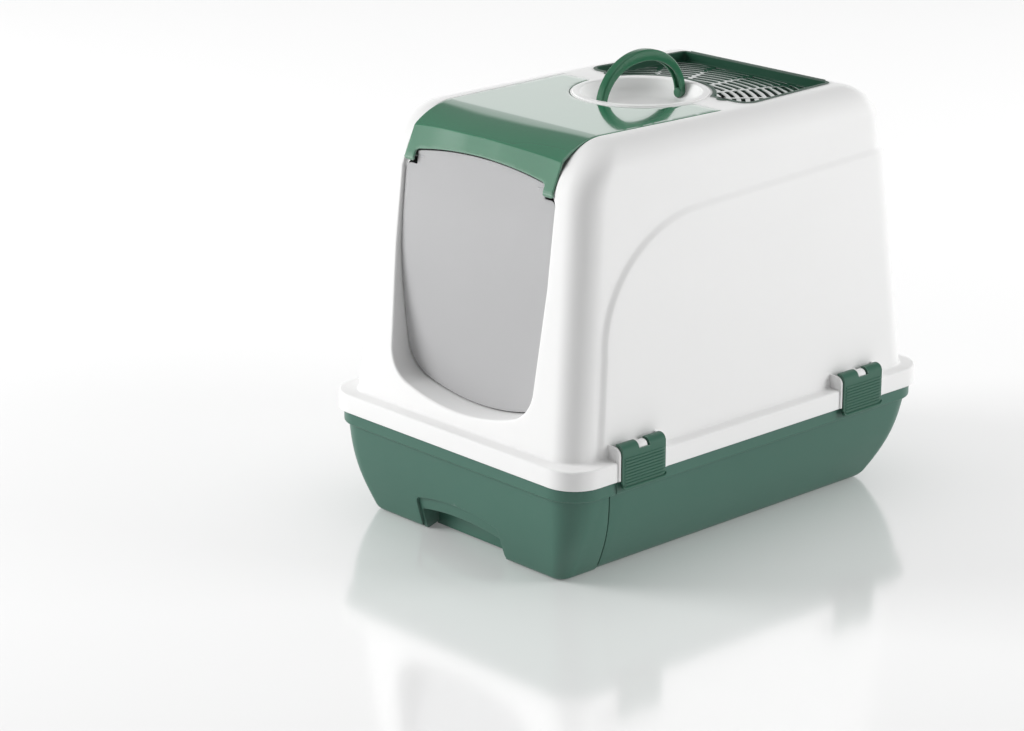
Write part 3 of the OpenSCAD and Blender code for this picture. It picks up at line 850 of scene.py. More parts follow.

# Door flap: a smoked sheet, bowed a little outwards, hung on two pins in the visor's ears.
# Light from inside the hood comes faintly through it.
# The flap's paler edges are partly a painted highlight along its rim, partly rubbed wear.
smoked = moulded_plastic("smoked_flap", srgb(186, 186, 187), 0.22, grain_depth=0.000004,
                         edge_wear_and_highlight=0.3, alpha=0.86, drift=0.01)
flap_pin_y, flap_pin_z = -217, 397
flap_foot_z = door_sill + 5
flap_bow = 9
flap_r = 0.9
flap_thick = 2.5
flap_gap = 1.2
shoulder_r = 7
flap_top_x = 96.2 - flap_r                         # it passes up between the visor's ears
flap_side = door_view(-flap_gap - flap_r, 378)
shoulder = arc(door_high_half - flap_gap - flap_r - shoulder_r, 380, shoulder_r, 0, 90, 8)
flap_top = arch_view(flap_top_x, 2 + flap_r, 26)[::-1]
flap_loop = join(flap_side, shoulder, line((ear_in, 387), (flap_top_x, 388.5), 2),
                 line((flap_top_x, 390), flap_top[0], 3), flap_top,
                 line(flap_top[-1], flap_side[0], 40))[:-1]
flat_flap, flap_faces = fill(flap_loop, lattice(np.arange(3, 112, 6.0), np.arange(150, 412, 6.0)))
hang = (flap_pin_z - flat_flap[:, 1]) / (flap_pin_z - flap_foot_z)
flap_points = np.column_stack([flat_flap[:, 0],
                               flap_pin_y - flap_bow * np.sin(np.pi * hang) - 2 * hang - flap_thick / 2,
                               flat_flap[:, 1]])
flap_sheet = both_sides(flap_points, flap_faces)
piece("door_flap_sheet", [shell(*flap_sheet, flap_thick, round_edge(flap_r, 1.6))], smoked, "flap",
      ("door_flap",))

# Steel pins: plain turned rods. Two hang the visor, two hang the flap, two carry the handle
# and four long ones are the latches' axles. Each has a small chamfer at both ends.
pin_steel = bpy.data.materials.new("pin_steel")
pin_steel.use_nodes = True
steel_nodes, steel_links = pin_steel.node_tree.nodes, pin_steel.node_tree.links
steel_shader = steel_nodes["Principled BSDF"]
steel_shader.inputs["Base Color"].default_value = (0.56, 0.57, 0.58, 1)
steel_shader.inputs["Metallic"].default_value = 1
steel_coords = steel_nodes.new("ShaderNodeTexCoord")
turning = steel_nodes.new("ShaderNodeTexNoise")
turning.inputs["Scale"].default_value = 600
turning_rough = steel_nodes.new("ShaderNodeMapRange")
turning_rough.inputs["To Min"].default_value = 0.2
turning_rough.inputs["To Max"].default_value = 0.42
turning_bump = steel_nodes.new("ShaderNodeBump")
turning_bump.inputs["Distance"].default_value = 0.00001
steel_links.new(steel_coords.outputs["Object"], turning.inputs["Vector"])
steel_links.new(turning.outputs["Fac"], turning_rough.inputs["Value"])
steel_links.new(turning_rough.outputs["Result"], steel_shader.inputs["Roughness"])
steel_links.new(turning.outputs["Fac"], turning_bump.inputs["Height"])
steel_links.new(turning_bump.outputs["Normal"], steel_shader.inputs["Normal"])


def turned(start, stop, profile, steps=40):
    """A turned part between two points: its profile is a list of (share of the length, radius)."""
    start, stop = np.array(start, float), np.array(stop, float)
    axis = unit(stop - start)
    side = unit(np.cross(axis, (0, 0, 1) if abs(axis[2]) < 0.9 else (1, 0, 0)))
    other = np.cross(axis, side)
    angle = np.linspace(0, 2 * np.pi, steps, endpoint=False)[:, None]
    rings = [start + (stop - start) * part + r * (np.cos(angle) * side + np.sin(angle) * other)
             for part, r in profile]
    return loft(rings)


pins = [(body + "_pin_" + side, body) for body in ("visor", "flap") for side in ("left", "right")]
pins += [("handle_pin_" + end, "hood") for end in latch_places]
pins += [("latch_axle_" + end + "_" + side, "hood") for end in latch_places for side in ("right", "left")]
chamfer = 0.5
axle_short = 1.5                                   # an axle's ends lie a little inside the cheeks
for node, body in pins:
    low, high = cad_box_mm(node)
    length_axis = int(np.argmax(high - low))
    pin_r = np.sort(high - low)[0] / 2
    start = (low + high) / 2
    stop = start.copy()
    start[length_axis], stop[length_axis] = low[length_axis], high[length_axis]
    if "axle" in node:
        start[length_axis] += axle_short
        stop[length_axis] -= axle_short
    share = chamfer / (high - low)[length_axis]
    profile = [(0, pin_r - chamfer), (share, pin_r), (1 - share, pin_r), (1, pin_r - chamfer)]
    piece("turned_" + node, [turned(start, stop, profile)], pin_steel, body, (node,))

# Dish: a round white polypropylene bowl let into the hood's top, so that a hand fits under the
# handle. A flat ring round its edge lies on the roof.
dish_floor = 427.5
dish_bend_r = 13                                   # inner radius between the floor and the wall
dish_thick = 2.5


def lathe(profile):
    """A profile of (radius, height) turned about the dish's axis; it starts and ends at the middle."""
    angle = np.linspace(0, 2 * np.pi, 120, endpoint=False)
    rings = [np.column_stack([r * np.cos(angle), dish_y + r * np.sin(angle), 0 * angle + z])
             for r, z in profile]
    return loft(rings)


bowl = join(np.array([[1.0, dish_floor], [24, dish_floor + 0.1]]),
            arc(50, dish_floor + dish_bend_r, dish_bend_r, -90, -8, 10),
            line((63.4, 440), (64.0, 443.6), 2),
            arc(66.6, 443.6, 2.6, 180, 90, 6),
            arc(71.8, 445.2, 1.0, 90, 0, 4), np.array([[72.8, 444.6], [69, 444.4], [67.5, 443]]),
            np.array([[66.4, 438]]),
            arc(50, dish_floor + dish_bend_r, dish_bend_r + dish_thick, -8, -90, 8),
            np.array([[1.0, dish_floor - dish_thick]]))
piece("handle_dish_bowl", [inside_out(*lathe(bowl))], hood_white, "hood",
      ("handle_dish",))

# Carry handle: a green bail moulded in one piece, hollow underneath, arched over the dish.
# Its two round feet swing on pins in the dish's wall.
handle_half_l, handle_high = 63, 55
handle_w = 11
leg_thick, top_extra = 7.6, 4.4                    # thickness at the feet, and how much more at the top
foot_l = 9
pin_z = hood_top - 10
green_handle = moulded_plastic("green_handle", srgb(44, 100, 72), 0.22, grain_depth=0.00001,
                               edge_wear_and_highlight=0.35, drift=0.03)


def handle_section(width, thick):
    """A rounded strap with a groove along its inner side; (across, outwards)."""
    half, low, r = width / 2, thick / 2, 2.2
    groove, deep = width / 2 - 2.6, thick * 0.45
    foot_r, lip_r, groove_r = 0.9, 0.6, 0.8
    return join(arc(half - r, low - r, r, 0, 90, 6),
                arc(r - half, low - r, r, 90, 180, 6),
                arc(foot_r - half, foot_r - low, foot_r, 180, 270, 4),
                arc(-groove - lip_r, lip_r - low, lip_r, 270, 360, 3),
                arc(groove_r - groove, deep - groove_r - low, groove_r, 180, 90, 3),
                arc(groove - groove_r, deep - groove_r - low, groove_r, 90, 0, 3),
                arc(groove + lip_r, lip_r - low, lip_r, 180, 270, 3),
                arc(half - foot_r, foot_r - low, foot_r, 270, 360, 4))


bail_rings = []
for t in np.radians(np.linspace(0, 180, 91)):
    thick = leg_thick + top_extra * np.sin(t) ** 2
    section = handle_section(handle_w, thick)
    a, b = handle_half_l - thick / 2, handle_high - thick / 2
    middle = np.array((0, dish_y + a * np.cos(t), pin_z + b * np.sin(t)))
    outwards = unit(np.array((0, b * np.cos(t), a * np.sin(t))))
    bail_rings.append(middle + section[:, :1] * np.array((1.0, 0, 0)) + section[:, 1:] * outwards)
handle_parts = [loft(bail_rings)]
for side in (-1, 1):
    outer_y = dish_y + side * handle_half_l
    inner_y = dish_y + side * (handle_half_l - foot_l)
    handle_parts.append(turned((0, inner_y, pin_z), (0, outer_y, pin_z),
                               [(0, 4.3), (0.04, 5.0), (0.12, 5.5), (0.88, 5.5), (0.96, 5.0), (1, 4.3)]))
    handle_parts.append(turned((0, outer_y - side, pin_z), (0, outer_y + side * 1.7, pin_z),
                               [(0, 3.6), (0.85, 3.6), (1, 3.2)]))
piece("handle_bail", handle_parts, green_handle, "handle", ("carry_handle",))

# Vent cover: a green grille of curved slots sunk below the roof, hung in a thin flat lip.
# Small tabs at its front corners are for the fingers that tip it up.
grille_top = hood_top - 8.6
lip_top = hood_top + 1


def whole(half):
    """A closed outline from its right half."""
    left = half[::-1] * (-1, 1)
    return join(half, left)[:-1] if np.allclose(half[0], left[-1]) else join(half, left)


def flat_ring(outline, z):
    """An outline in plan, set at one height."""
    return np.column_stack([outline, np.full(len(outline), float(z))])


def grille_slot(r0, r1, a0, a1):
    """A curved slot between two radii and two angles about the dish, with its corners nicked."""
    nick = 1.0
    a_in, a_out = np.degrees(nick / r0), np.degrees(nick / r1)
    return join(arc(0, dish_y, r1, a0 + a_out, a1 - a_out, 7), arc(0, dish_y, r1 - nick, a1, a1, 1),
                arc(0, dish_y, r0 + nick, a1, a1, 1), arc(0, dish_y, r0, a1 - a_in, a0 + a_in, 7),
                arc(0, dish_y, r0 + nick, a0, a0, 1), arc(0, dish_y, r1 - nick, a0, a0, 1))


slot_first_r, slot_pitch, slot_wide = 86, 9.6, 5.6
slot_first_turn, slot_turn, slot_bar = 14, 19, 3.4
grille_rim = whole(vent_view(-1.6))
grille_clip = whole(vent_view(-5.2))
slots = [grille_slot(r, r + slot_wide, a, a + slot_turn - slot_bar * slot_first_r / r)
         for r in np.arange(slot_first_r, 190, slot_pitch)
         for a in np.arange(slot_first_turn, 160, slot_turn)]
slots = [slot for slot in slots if inside(slot, grille_clip).sum() > 5]


def in_any(points, loops):
    """True for each point inside at least one of the outlines."""
    return np.any([inside(points, loop) for loop in loops], axis=0)


def is_grille(q):
    """The grille's bars, and the plain border round them."""
    return inside(q, grille_rim) & ~(in_any(q, slots) & inside(q, grille_clip))


grille_grid = lattice(np.arange(-114, 115, 6.0), np.arange(46, 190, 6.0))
flat_grille, grille_faces = cut_sheet([grille_rim, grille_clip] + slots, is_grille, grille_grid)
grille_points = flat_ring(flat_grille, grille_top)
vent_parts = [shell(*weld((grille_points, grille_faces)), 2.3, round_edge(0.7, 2.0, 3))]
lip_rings = [flat_ring(whole(vent_view(g)), z) for g, z in (
    (2.0, hood_top + 0.1), (2.2, hood_top + 0.4), (2.0, lip_top - 0.2), (1.6, lip_top), (-1.2, lip_top),
    (-1.8, lip_top - 0.3), (-2.1, lip_top - 1), (-2.3, grille_top + 1), (-3.0, grille_top - 0.3),
    (-2.6, grille_top - 2.2), (-0.9, grille_top - 2.2), (-0.6, hood_top + 0.1))]
frame_parts = [loft(lip_rings, closed=True)]
tab_x, tab_r = 84, 7
for x in (-tab_x, tab_x):
    tab_view = join(arc(x, 47.2, tab_r, 180, 360, 16), line((x + tab_r, 49.4), (x - tab_r, 49.4), 3))
    frame_parts.append(slab(tab_view, hood_top + 0.1, lip_top, 0.3, in_plan=True))
bead_half, bead_y, bead_z = 100, 189.2, hood_top + 0.95
frame_parts.append(turned((-bead_half, bead_y, bead_z), (bead_half, bead_y, bead_z),
                          [(0, 0.5), (0.003, 0.85), (0.997, 0.85), (1, 0.5)], 20))
green_vent = moulded_plastic("green_vent", srgb(26, 66, 50), 0.16, grain_depth=0.000008,
                             edge_wear_and_highlight=0.3, drift=0.03, coat=1.0)
piece("vent_grille", vent_parts, green_vent, "vent", ("vent_cover",))
# The lip's strong pale edges are mostly a painted highlight line along its rounded rim, with a little
# rubbed wear.
green_frame = moulded_plastic("green_frame", srgb(22, 66, 48), 0.5, edge_wear_and_highlight=0.9, drift=0.03, level=0.3)
piece("vent_frame", frame_parts, green_frame, "vent", ("vent_cover",))

# Filter pad: a charcoal-loaded fibre mat that lies on its holder under the grille.
# It is cut from a roll, soft at the edges, and lumpy where its fibres bunch.
charcoal = bpy.data.materials.new("charcoal_fibre")
charcoal.use_nodes = True
char_nodes, char_links = charcoal.node_tree.nodes, charcoal.node_tree.links
char_shader = char_nodes["Principled BSDF"]
char_shader.inputs["Sheen Weight"].default_value = 0.3
char_shader.inputs["Sheen Roughness"].default_value = 0.5
char_coords = char_nodes.new("ShaderNodeTexCoord")
fibres = char_nodes.new("ShaderNodeTexNoise")
fibres.inputs["Scale"].default_value = 420
fibres.inputs["Detail"].default_value = 6
fibres.inputs["Distortion"].default_value = 2.5
fibre_colour = char_nodes.new("ShaderNodeValToRGB")
fibre_colour.color_ramp.elements[0].color = (0.006, 0.006, 0.006, 1)
fibre_colour.color_ramp.elements[1].color = (0.035, 0.035, 0.034, 1)
fibre_rough = char_nodes.new("ShaderNodeMapRange")
fibre_rough.inputs["To Min"].default_value = 0.8
fibre_rough.inputs["To Max"].default_value = 1.0
fibre_bump = char_nodes.new("ShaderNodeBump")
fibre_bump.inputs["Distance"].default_value = 0.0006
char_links.new(char_coords.outputs["Object"], fibres.inputs["Vector"])
char_links.new(fibres.outputs["Fac"], fibre_colour.inputs["Fac"])
char_links.new(fibre_colour.outputs["Color"], char_shader.inputs["Base Color"])
char_links.new(fibres.outputs["Fac"], fibre_rough.inputs["Value"])
char_links.new(fibre_rough.outputs["Result"], char_shader.inputs["Roughness"])
char_links.new(fibres.outputs["Fac"], fibre_bump.inputs["Height"])
char_links.new(fibre_bump.outputs["Normal"], char_shader.inputs["Normal"])
pad_top = cad_box_mm("charcoal_filter")[1][2]
pad_thick, pad_edge_r = 12.4, 4
lump_high = 0.6
pad_rim = whole(vent_view(-1.6 - pad_edge_r))
flat_pad, pad_faces = fill(pad_rim, lattice(np.arange(-110, 111, 4.0), np.arange(46, 190, 4.0)))
lumps = np.sin(flat_pad[:, 0] * 0.31 + 2 * np.sin(flat_pad[:, 1] * 0.13)) * np.sin(flat_pad[:, 1] * 0.27)
from_edge = np.clip(distance(flat_pad, join(pad_rim, pad_rim[:1])) / 12, 0, 1)
pad_z = pad_top - 0.7 + lump_high * lumps * from_edge
pad_sheet = (np.column_stack([flat_pad, pad_z]), pad_faces)
pad = piece("filter_pad", [shell(*pad_sheet, pad_thick, round_edge(pad_edge_r, pad_thick - 4, 5))],
            charcoal, "hood", ("charcoal_filter",))

# Filter holder: a white polypropylene grid, moulded flat with rows of square windows.
# It clips under the vent's well and carries the pad.
holder_top = cad_box_mm("filter_holder")[1][2]
holder_rim = whole(vent_view(3.0))
window_pitch = 29
window_half, window_r = 12.4, 2.5
window_places = [(x, y, window_half) for x in range(-87, 88, window_pitch)
                 for y in range(103, 162, window_pitch)] + [(-93, 74, 12), (93, 74, 12)]


def window(x, y, half_x):
    """A rounded rectangle about one place."""
    in_x, in_y = half_x - window_r, window_half - window_r
    corners = ((in_x, in_y, 0), (-in_x, in_y, 90), (-in_x, -in_y, 180), (in_x, -in_y, 270))
    return join(*[arc(x + dx, y + dy, window_r, turn, turn + 90, 4) for dx, dy, turn in corners])


windows = [window(*place) for place in window_places]
flat_holder, holder_faces = cut_sheet([holder_rim] + windows,
                                      lambda q: inside(q, holder_rim) & ~in_any(q, windows), grille_grid)
holder_sheet = weld((flat_ring(flat_holder, holder_top), holder_faces))
piece("filter_grid", [shell(*holder_sheet, 2.8, round_edge(0.6, 2.4, 3))], hood_white, "hood",
      ("filter_holder",))

# Latches: four ribbed green plates, each rolled round its axle at the top.
# A notch in the roll shows the hood's hook, and a rounded lip at the foot takes the thumb.
green_satin = moulded_plastic("green_satin", srgb(52, 96, 79), 0.4, grain=1400, grain_depth=0.00002,
                              edge_wear_and_highlight=0.3, drift=0.03)
latch_foot = rim_foot - 9.4
latch_out = axle_x + 8
latch_in = rim_half_w + 0.9
rib_pitch, rib_high, ribs = 3.3, 1.0, 9
rib_foot = latch_foot + 6.2
bore_r, roll_r, notch_r = 5.2, 8, 6.7
notch_half = 7.5


def latch_front(bulge):
    """The outer face from the roll down to the foot, with its ribs raised by bulge."""
    z = np.linspace(axle_z, latch_foot + 4.6, 150)
    wave = np.where((z > rib_foot - rib_pitch / 2) & (z < rib_foot + (ribs - 0.5) * rib_pitch),
                    np.clip((np.cos(2 * np.pi * (z - rib_foot) / rib_pitch) + 0.7) / 0.8, 0, 1), 0)
    return np.column_stack([latch_out + rib_high * bulge * wave, z])


latch_lip = join(np.array([[latch_out - 0.5, latch_foot + 4.2], [latch_out - 0.2, latch_foot + 3.6]]),
                 arc(latch_out + 0.2, latch_foot + 2.2, 1.3, 70, -60, 8),
                 np.array([[latch_out - 0.6, latch_foot + 0.2], [latch_in + 0.5, latch_foot]]),
                 line((latch_in, latch_foot + 0.5), (latch_in, axle_z - 4), 6))


def run_length(run):
    """The distance along a run of points, at each of them."""
    return np.concatenate([[0], np.cumsum(np.linalg.norm(np.diff(run, axis=0), axis=1))])


def even(run, count):
    """The same run of points, resampled evenly."""
    length = run_length(run)
    at = np.linspace(0, length[-1], count)
    return np.column_stack([np.interp(at, length, run[:, i]) for i in range(2)])


roll_full = even(join(arc(axle_x, axle_z, bore_r, -40, -180, 14),
                      arc(axle_x, axle_z, bore_r, 180, 118, 6),
                      arc(axle_x, axle_z, roll_r, 112, 0, 22)), 44)
roll_notch = even(join(arc(axle_x, axle_z, notch_r, -38, 6, 8),
                       line((axle_x + notch_r, axle_z + 0.9), (latch_out - 0.3, axle_z + 0.9), 2),
                       line((latch_out, axle_z + 0.6), (latch_out, axle_z), 2)), 44)
half = latch_length / 2
side_r, foot_r = 0.9, 5                            # round edges at the sides and the foot's corners
near_end = half - np.array([5, 3.6, 3, 2.4, 1.4, 0.8, 0.3, 0])
half_stations = np.concatenate([[0, 5, notch_half, notch_half + 0.01],
                                np.linspace(notch_half + 1, 20, 5), near_end])
latch_rings = []
for y in np.concatenate([-half_stations[:0:-1], half_stations]):
    gap = half - abs(y)
    inset = side_r - np.sqrt(max(0, side_r ** 2 - max(0, side_r - gap) ** 2))
    roll = roll_notch if abs(y) <= notch_half else roll_full
    view = np.concatenate([roll, latch_front(np.clip((gap - 2.4) / 1.2, 0, 1))[1:], latch_lip])
    lift = foot_r - np.sqrt(foot_r ** 2 - max(0, foot_r - gap) ** 2)
    view[:, 1] += lift * np.clip((latch_foot + 10 - view[:, 1]) / 10, 0, 1)
    view = view + outline_out(view) * inset
    latch_rings.append(np.column_stack([view[:, 0], 0 * view[:, 0] + y, view[:, 1]]))
latch_points, latch_faces = loft(latch_rings)
for where, y in latch_places.items():
    for side_name, side in (("right", 1), ("left", -1)):
        node = "latch_" + where + "_" + side_name
        plate = (latch_points * (side, 1, 1) + (0, y, 0), latch_faces)
        plate = plate if side > 0 else inside_out(*plate)
        piece(node + "_plate", [plate], green_satin, node, (node,))

# Tub: the green lower half, a tapered moulding open at the front for the drawer.
# A band runs round its top under the hood's rim, and an upstand inside the rim locates the hood.
base_green = moulded_plastic("base_green", srgb(62, 104, 90), 0.36, grain=1400, grain_depth=0.00003,
                             edge_wear_and_highlight=0.25, drift=0.03)
band_z = 98
band_out, band_r = 5, 1.6
band_top = rim_foot - 0.2
base_half_w, base_front, base_back, base_corner_r = 146.5, -242.5, 221, 14
side_flare, front_flare, back_flare, corner_flare = 0.383, 0.199, 0.418, 0.2
side_bow, front_bow = 6, 4                         # how far the walls bow out between floor and band


def base_outline(bottom_r):
    """Profile of the base's skin, as (outwards, height), from under the floor to the band's top."""
    return join(arc(-bottom_r, bottom_r, bottom_r, -90, 0, 9),
                line((0, bottom_r), (0, band_z - band_r), 12),
                arc(band_r, band_z - band_r, band_r, 180, 90, 4),
                arc(band_out - band_r, band_z + band_r, band_r, -90, 0, 5),
                line((band_out, band_z + 2), (band_out, band_top - 0.8), 4),
                arc(band_out - 0.8, band_top - 0.8, 0.8, 0, 90, 3),
                line((band_out - 1, band_top), (band_out - 2.4, band_top), 1))


def belly(z):
    """The walls are slightly bowed between the floor and the band."""
    return np.sin(np.pi * np.clip(z / band_z, 0, 1))


def base_size(out, z):
    """Half width, front, back and corner radius of the base at a height."""
    ring_z = np.minimum(z, band_z)
    return (base_half_w + side_flare * ring_z + side_bow * belly(z) + out,
            base_front - front_flare * ring_z - front_bow * belly(z) - out,
            base_back + back_flare * ring_z + side_bow * belly(z) + out,
            base_corner_r + corner_flare * ring_z + out)


def base_skin(profile):
    """The skin as a function of the place along the wall and up its profile."""
    reach = run_length(profile)

    def at(along, up):
        along, up = np.broadcast_arrays(np.asarray(along, float), np.asarray(up, float))
        out = np.interp(up, reach, profile[:, 0])
        z = np.interp(up, reach, profile[:, 1])
        x, y = half_ring(along, *base_size(out, z))
        return np.stack([x, y, z], axis=-1)
    return reach, at


def seam_y(z):
    """The joint between drawer and tub leans forward down to the floor, and is upright in the band."""
    return np.where(z > band_z - 0.5, -206.4, -210.7 + (97.5 - z) * 0.1833)


def seam_along(profile, reach, shift):
    """The joint between drawer and tub, as places along and up the skin."""
    out, z = profile[:, 0], profile[:, 1]
    half_w, front, back, r = base_size(out, z)
    return np.stack([corners_at[2] + (seam_y(z) + shift - front - r) / (back - front - 2 * r) * legs[2],
                     reach], axis=1)


def base_rows(reach):
    """Heights up the skin at which it gets a row of points."""
    return np.unique(np.round(np.concatenate([reach, np.arange(14, 100, 6.0)]), 3))


def thin_at_band(points):
    """The skin is thinner in the band, where the hood's rim stands on it."""
    return np.where(points[:, 2:] > band_z - 2.5, 1.2, 2.4)


seam_r = 0.6
tub_profile = base_outline(10)
tub_reach, tub_at = base_skin(tub_profile)
tub_seam = seam_along(tub_profile, tub_reach, seam_r)
tub_columns = columns[columns > tub_seam[:, 0].max() + 2]
tub_loop = join(np.stack([tub_columns, 0 * tub_columns], axis=1),
                np.stack([0 * tub_reach + half_way, tub_reach], axis=1),
                np.stack([tub_columns[::-1], 0 * tub_columns + tub_reach[-1]], axis=1),
                tub_seam[::-1])[:-1]
flat_tub, tub_faces = fill(tub_loop, lattice(tub_columns, base_rows(tub_reach)), clear=0.3)
tub_wall = tub_at(flat_tub[:, 0], flat_tub[:, 1])
underside_edge = tub_at(np.concatenate([[tub_seam[0, 0]], tub_columns]), 0.0)[:, :2]
underside_loop = join(underside_edge, line((0, underside_edge[-1, 1]), (0, underside_edge[0, 1]), 20),
                      line((0, underside_edge[0, 1]), underside_edge[0], 12))[:-1]
under_grid = lattice(np.arange(10, 150, 20.0), np.arange(-180, 220, 20.0))
flat_under, under_faces = fill(underside_loop, under_grid)
under = (np.column_stack([flat_under, 0 * flat_under[:, 0]]), under_faces[:, ::-1])
tub_points, tub_faces = both_sides(*weld((tub_wall, tub_faces), under))
tub_parts = [shell(tub_points, tub_faces, thin_at_band(tub_points), round_edge(seam_r, 1.2))]


def upright_ring(half_w, half_l, r, z):
    """A level ring with round corners."""
    x, y = half_ring(columns, half_w, -half_l, half_l, r)
    return full_ring(np.column_stack([x, y, 0 * x + z]))


upstand_w, upstand_l = rim_half_w - 6, rim_half_l - 6
upstand_profile = ((0.3, band_top + 0.8), (0, band_top + 1.2), (0, rim_top - 4), (0.5, rim_top - 3.4),
                   (2.5, rim_top - 3.4), (3, rim_top - 4), (3, band_top + 0.8))
tub_parts.append(loft([upright_ring(upstand_w - i, upstand_l - i, 31 - i, z)
                       for i, z in upstand_profile], closed=True))
runner_x, runner_half = 90, 4                      # two runners that the drawer slides on
for x in (-runner_x, runner_x):
    x0, x1 = x - runner_half, x + runner_half
    runner = np.array([[x0, -180], [x1, -180], [x1, 200], [x0, 200]], float)
    tub_parts.append(slab(runner, 2.2, 3.9, 0.3, in_plan=True))
piece("tub", tub_parts, base_green, "tub", ("base_tub",))

# Drawer front: the same green skin, wrapped round both front corners.
# A shallow arched recess is pressed in over the finger grip, whose pocket is open below.
grip_foot, grip_side_z, grip_top = 63.5, 39, 45.5
lip_z, lip_rise = 25.5, 5.5
recess_deep = 3.2
pocket_back = -223.5
drawer_profile = base_outline(6)
drawer_reach, drawer_at = base_skin(drawer_profile)


def arch(half, z_side, rise, r, steps):
    """Right half of a flat arch with round shoulders, from its top outwards."""
    big = ((half - r) ** 2 + rise ** 2) / (2 * rise)
    x = np.linspace(0, half - r, steps)
    return join(np.column_stack([x, z_side + rise - big + np.sqrt(big ** 2 - x ** 2)]),
                arc(half - r, z_side - r, r, 84, 0, 7))


def drawer_place(view):
    """Front-view points as places along the skin and up its profile."""
    out = np.interp(view[:, 1], drawer_profile[:10, 1], drawer_profile[:10, 0])
    half_w, _, _, r = base_size(np.where(view[:, 1] < 6, out, 0), view[:, 1])
    return np.stack([view[:, 0] / (half_w - r) * legs[0],
                     np.interp(view[:, 1], drawer_profile[:, 1], drawer_reach)], axis=1)


grip_edge_r = 0.8
grip_half, grip_rise = grip_foot + grip_edge_r, grip_top - grip_side_z
grip_view = join(arch(grip_half, grip_side_z + grip_edge_r, grip_rise, 8, 16),
                 line((grip_half, 31), (grip_half + 0.6, 9), 6),
                 arc(grip_half + 9.6, 9, 9, 180, 228, 5))
grip_run = drawer_place(grip_view)
foot_along = grip_run[-1, 0]
grip_run = join(grip_run, np.array([[foot_along + 1.2, 0]]))
drawer_seam = seam_along(drawer_profile, drawer_reach, -1.2 - seam_r)
drawer_columns = columns[columns < drawer_seam[:, 0].min() - 2]
foot_columns = drawer_columns[drawer_columns > grip_run[-1, 0] + 1]
middle_rows = base_rows(drawer_reach)[::-1]
middle_rows = middle_rows[middle_rows > grip_run[0, 1] + 1.5]
drawer_loop = join(np.stack([foot_columns, 0 * foot_columns], axis=1), drawer_seam,
                   np.stack([drawer_columns[::-1], 0 * drawer_columns + drawer_reach[-1]], axis=1),
                   np.stack([0 * middle_rows, middle_rows], axis=1), grip_run)[:-1]
drawer_loop = join(drawer_loop, grip_run[-1:])
drawer_grid = lattice(drawer_columns, base_rows(drawer_reach))
flat_drawer, drawer_faces = fill(drawer_loop, drawer_grid, clear=0.3)
drawer_points, drawer_faces = both_sides(drawer_at(flat_drawer[:, 0], flat_drawer[:, 1]), drawer_faces)


def drawer_edge(p, n, out):
    """A fine round edge, drawn in as deep as the recess round the grip."""
    near_grip = ((np.abs(p[:, 0]) < 78) & (p[:, 2] < 60) & (p[:, 1] < -200))[:, None]
    depth = np.where(near_grip, recess_deep + 1.6, 1.4)
    return bend(p, n, out, seam_r) + [p + seam_r * out - depth * n]


drawer_parts = [shell(drawer_points, drawer_faces, thin_at_band(drawer_points), drawer_edge)]
lip_view = arch(grip_foot - 1.5, lip_z, lip_rise, 5, 16)
behind_view = arch(grip_foot + 2.2, grip_side_z + 1.5, grip_rise, 8, 16)
recess_loop = join(lip_view, line((grip_foot - 1.5, lip_z - 5), (grip_foot - 1.5, 1), 6),
                   line((grip_foot + 2.2, 1), (grip_foot + 2.2, 32), 6), behind_view[::-1],
                   line(behind_view[0], lip_view[0], 4))[:-1]
flat_recess, recess_faces = fill(recess_loop, lattice(np.arange(3, 66, 5.0), np.arange(3, 48, 4.0)))
recess_z = flat_recess[:, 1]
recess_y = recess_deep + base_front - front_flare * recess_z - front_bow * belly(recess_z)
recess_points = np.column_stack([flat_recess[:, 0], recess_y, recess_z])
recess_points, recess_faces = both_sides(recess_points, recess_faces)


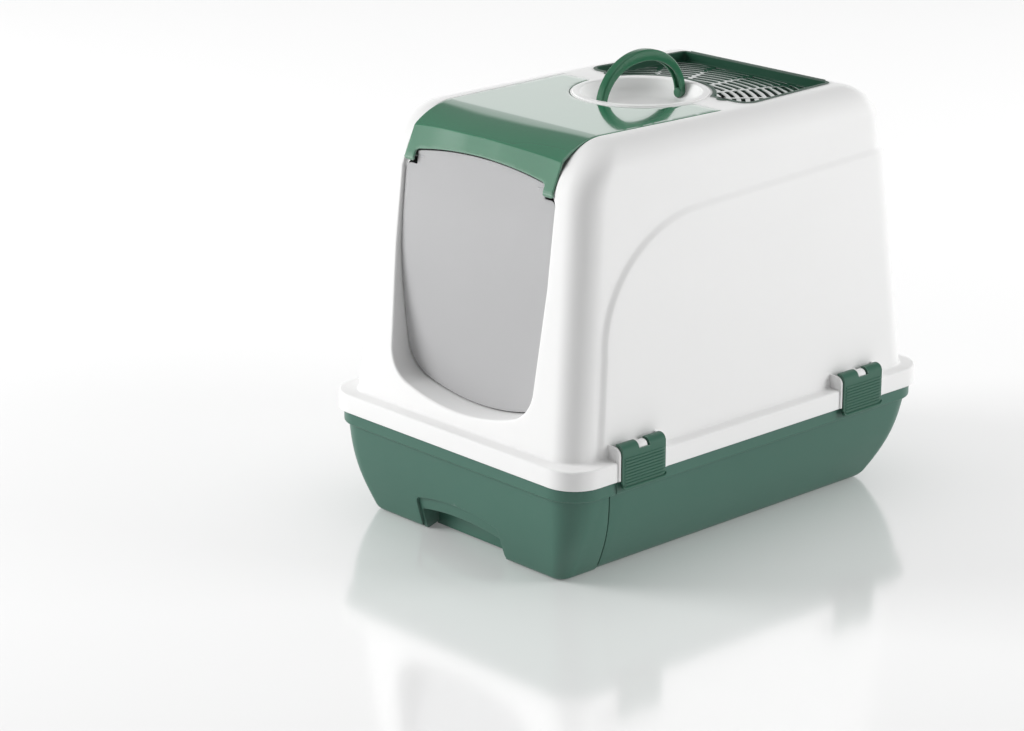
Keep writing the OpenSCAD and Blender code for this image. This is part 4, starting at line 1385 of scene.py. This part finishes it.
def recess_edge(p, n, out):
    """Round the pocket the edge runs back to the pocket's rear wall; elsewhere it is hidden."""
    lip = (np.abs(p[:, 0]) < grip_foot - 1) & (p[:, 2] < lip_z + lip_rise + 1) & (p[:, 2] > 1.2)
    lip = lip[:, None]
    rows = bend(p, n, out, grip_edge_r)
    deep = rows[-1].copy()
    deep[:, 1:2] = np.where(lip, pocket_back + 0.5, deep[:, 1:2] + 1.6)
    return rows + [deep, np.where(lip, deep - 1.6 * out, deep)]


drawer_parts.append(shell(recess_points, recess_faces, 2.0, recess_edge))
low_left, low_right, high_right, high_left = (-64, 1), (64, 1), (64, 34), (-64, 34)
pocket_view = join(line(low_left, low_right, 12), line(low_right, high_right, 4),
                   line(high_right, high_left, 12), line(high_left, low_left, 4))[:-1]
drawer_parts.append(slab(pocket_view, pocket_back, pocket_back + 3))
piece("drawer_face", drawer_parts, base_green, "drawer", ("drawer_front",))

# Litter tray: a deep tray in dark green polypropylene, moulded with a rolled lip all round.
# It stands loose in the drawer and comes out with it.
tray_green = moulded_plastic("tray_green", srgb(38, 74, 60), 0.4, grain=1000, grain_depth=0.00004,
                             edge_wear_and_highlight=0.2, drift=0.03)
tray_foot, tray_top = (corner[2] for corner in cad_box_mm("litter_tray"))
tray_half_w, tray_half_l, tray_corner_r = 137.5, 213, 24
tray_thick, tray_bend_r, tray_lip_r = 2.5, 9, 1.5


def tray_ring(inset, z):
    """One level ring of the tray's skin; its walls lean out with the base's."""
    rise = z - tray_foot
    x, y = half_ring(columns, tray_half_w + side_flare * rise - inset, -tray_half_l - 0.2 * rise + inset,
                     tray_half_l + 0.39 * rise - inset, tray_corner_r + 0.1 * rise - min(inset, 12))
    return full_ring(np.column_stack([x, y, 0 * x + z]))


tray_profile = join(arc(tray_bend_r, tray_foot + tray_bend_r, tray_bend_r, 270, 180, 8),
                    line((0, tray_foot + 10), (0, tray_top - 2.5), 6),
                    arc(-tray_lip_r, tray_top - tray_lip_r, tray_lip_r, -90, -270, 8),
                    np.array([[1.2, tray_top - 0.2]]),
                    line((tray_thick, tray_top - tray_lip_r), (tray_thick, tray_foot + 11), 6),
                    arc(tray_thick + tray_bend_r, tray_foot + tray_thick + tray_bend_r, tray_bend_r,
                        180, 270, 8))
tray_points, tray_faces = loft([tray_ring(inset, z) for inset, z in tray_profile])
piece("tray", [(tray_points, tray_faces)], tray_green, "drawer", ("litter_tray",))
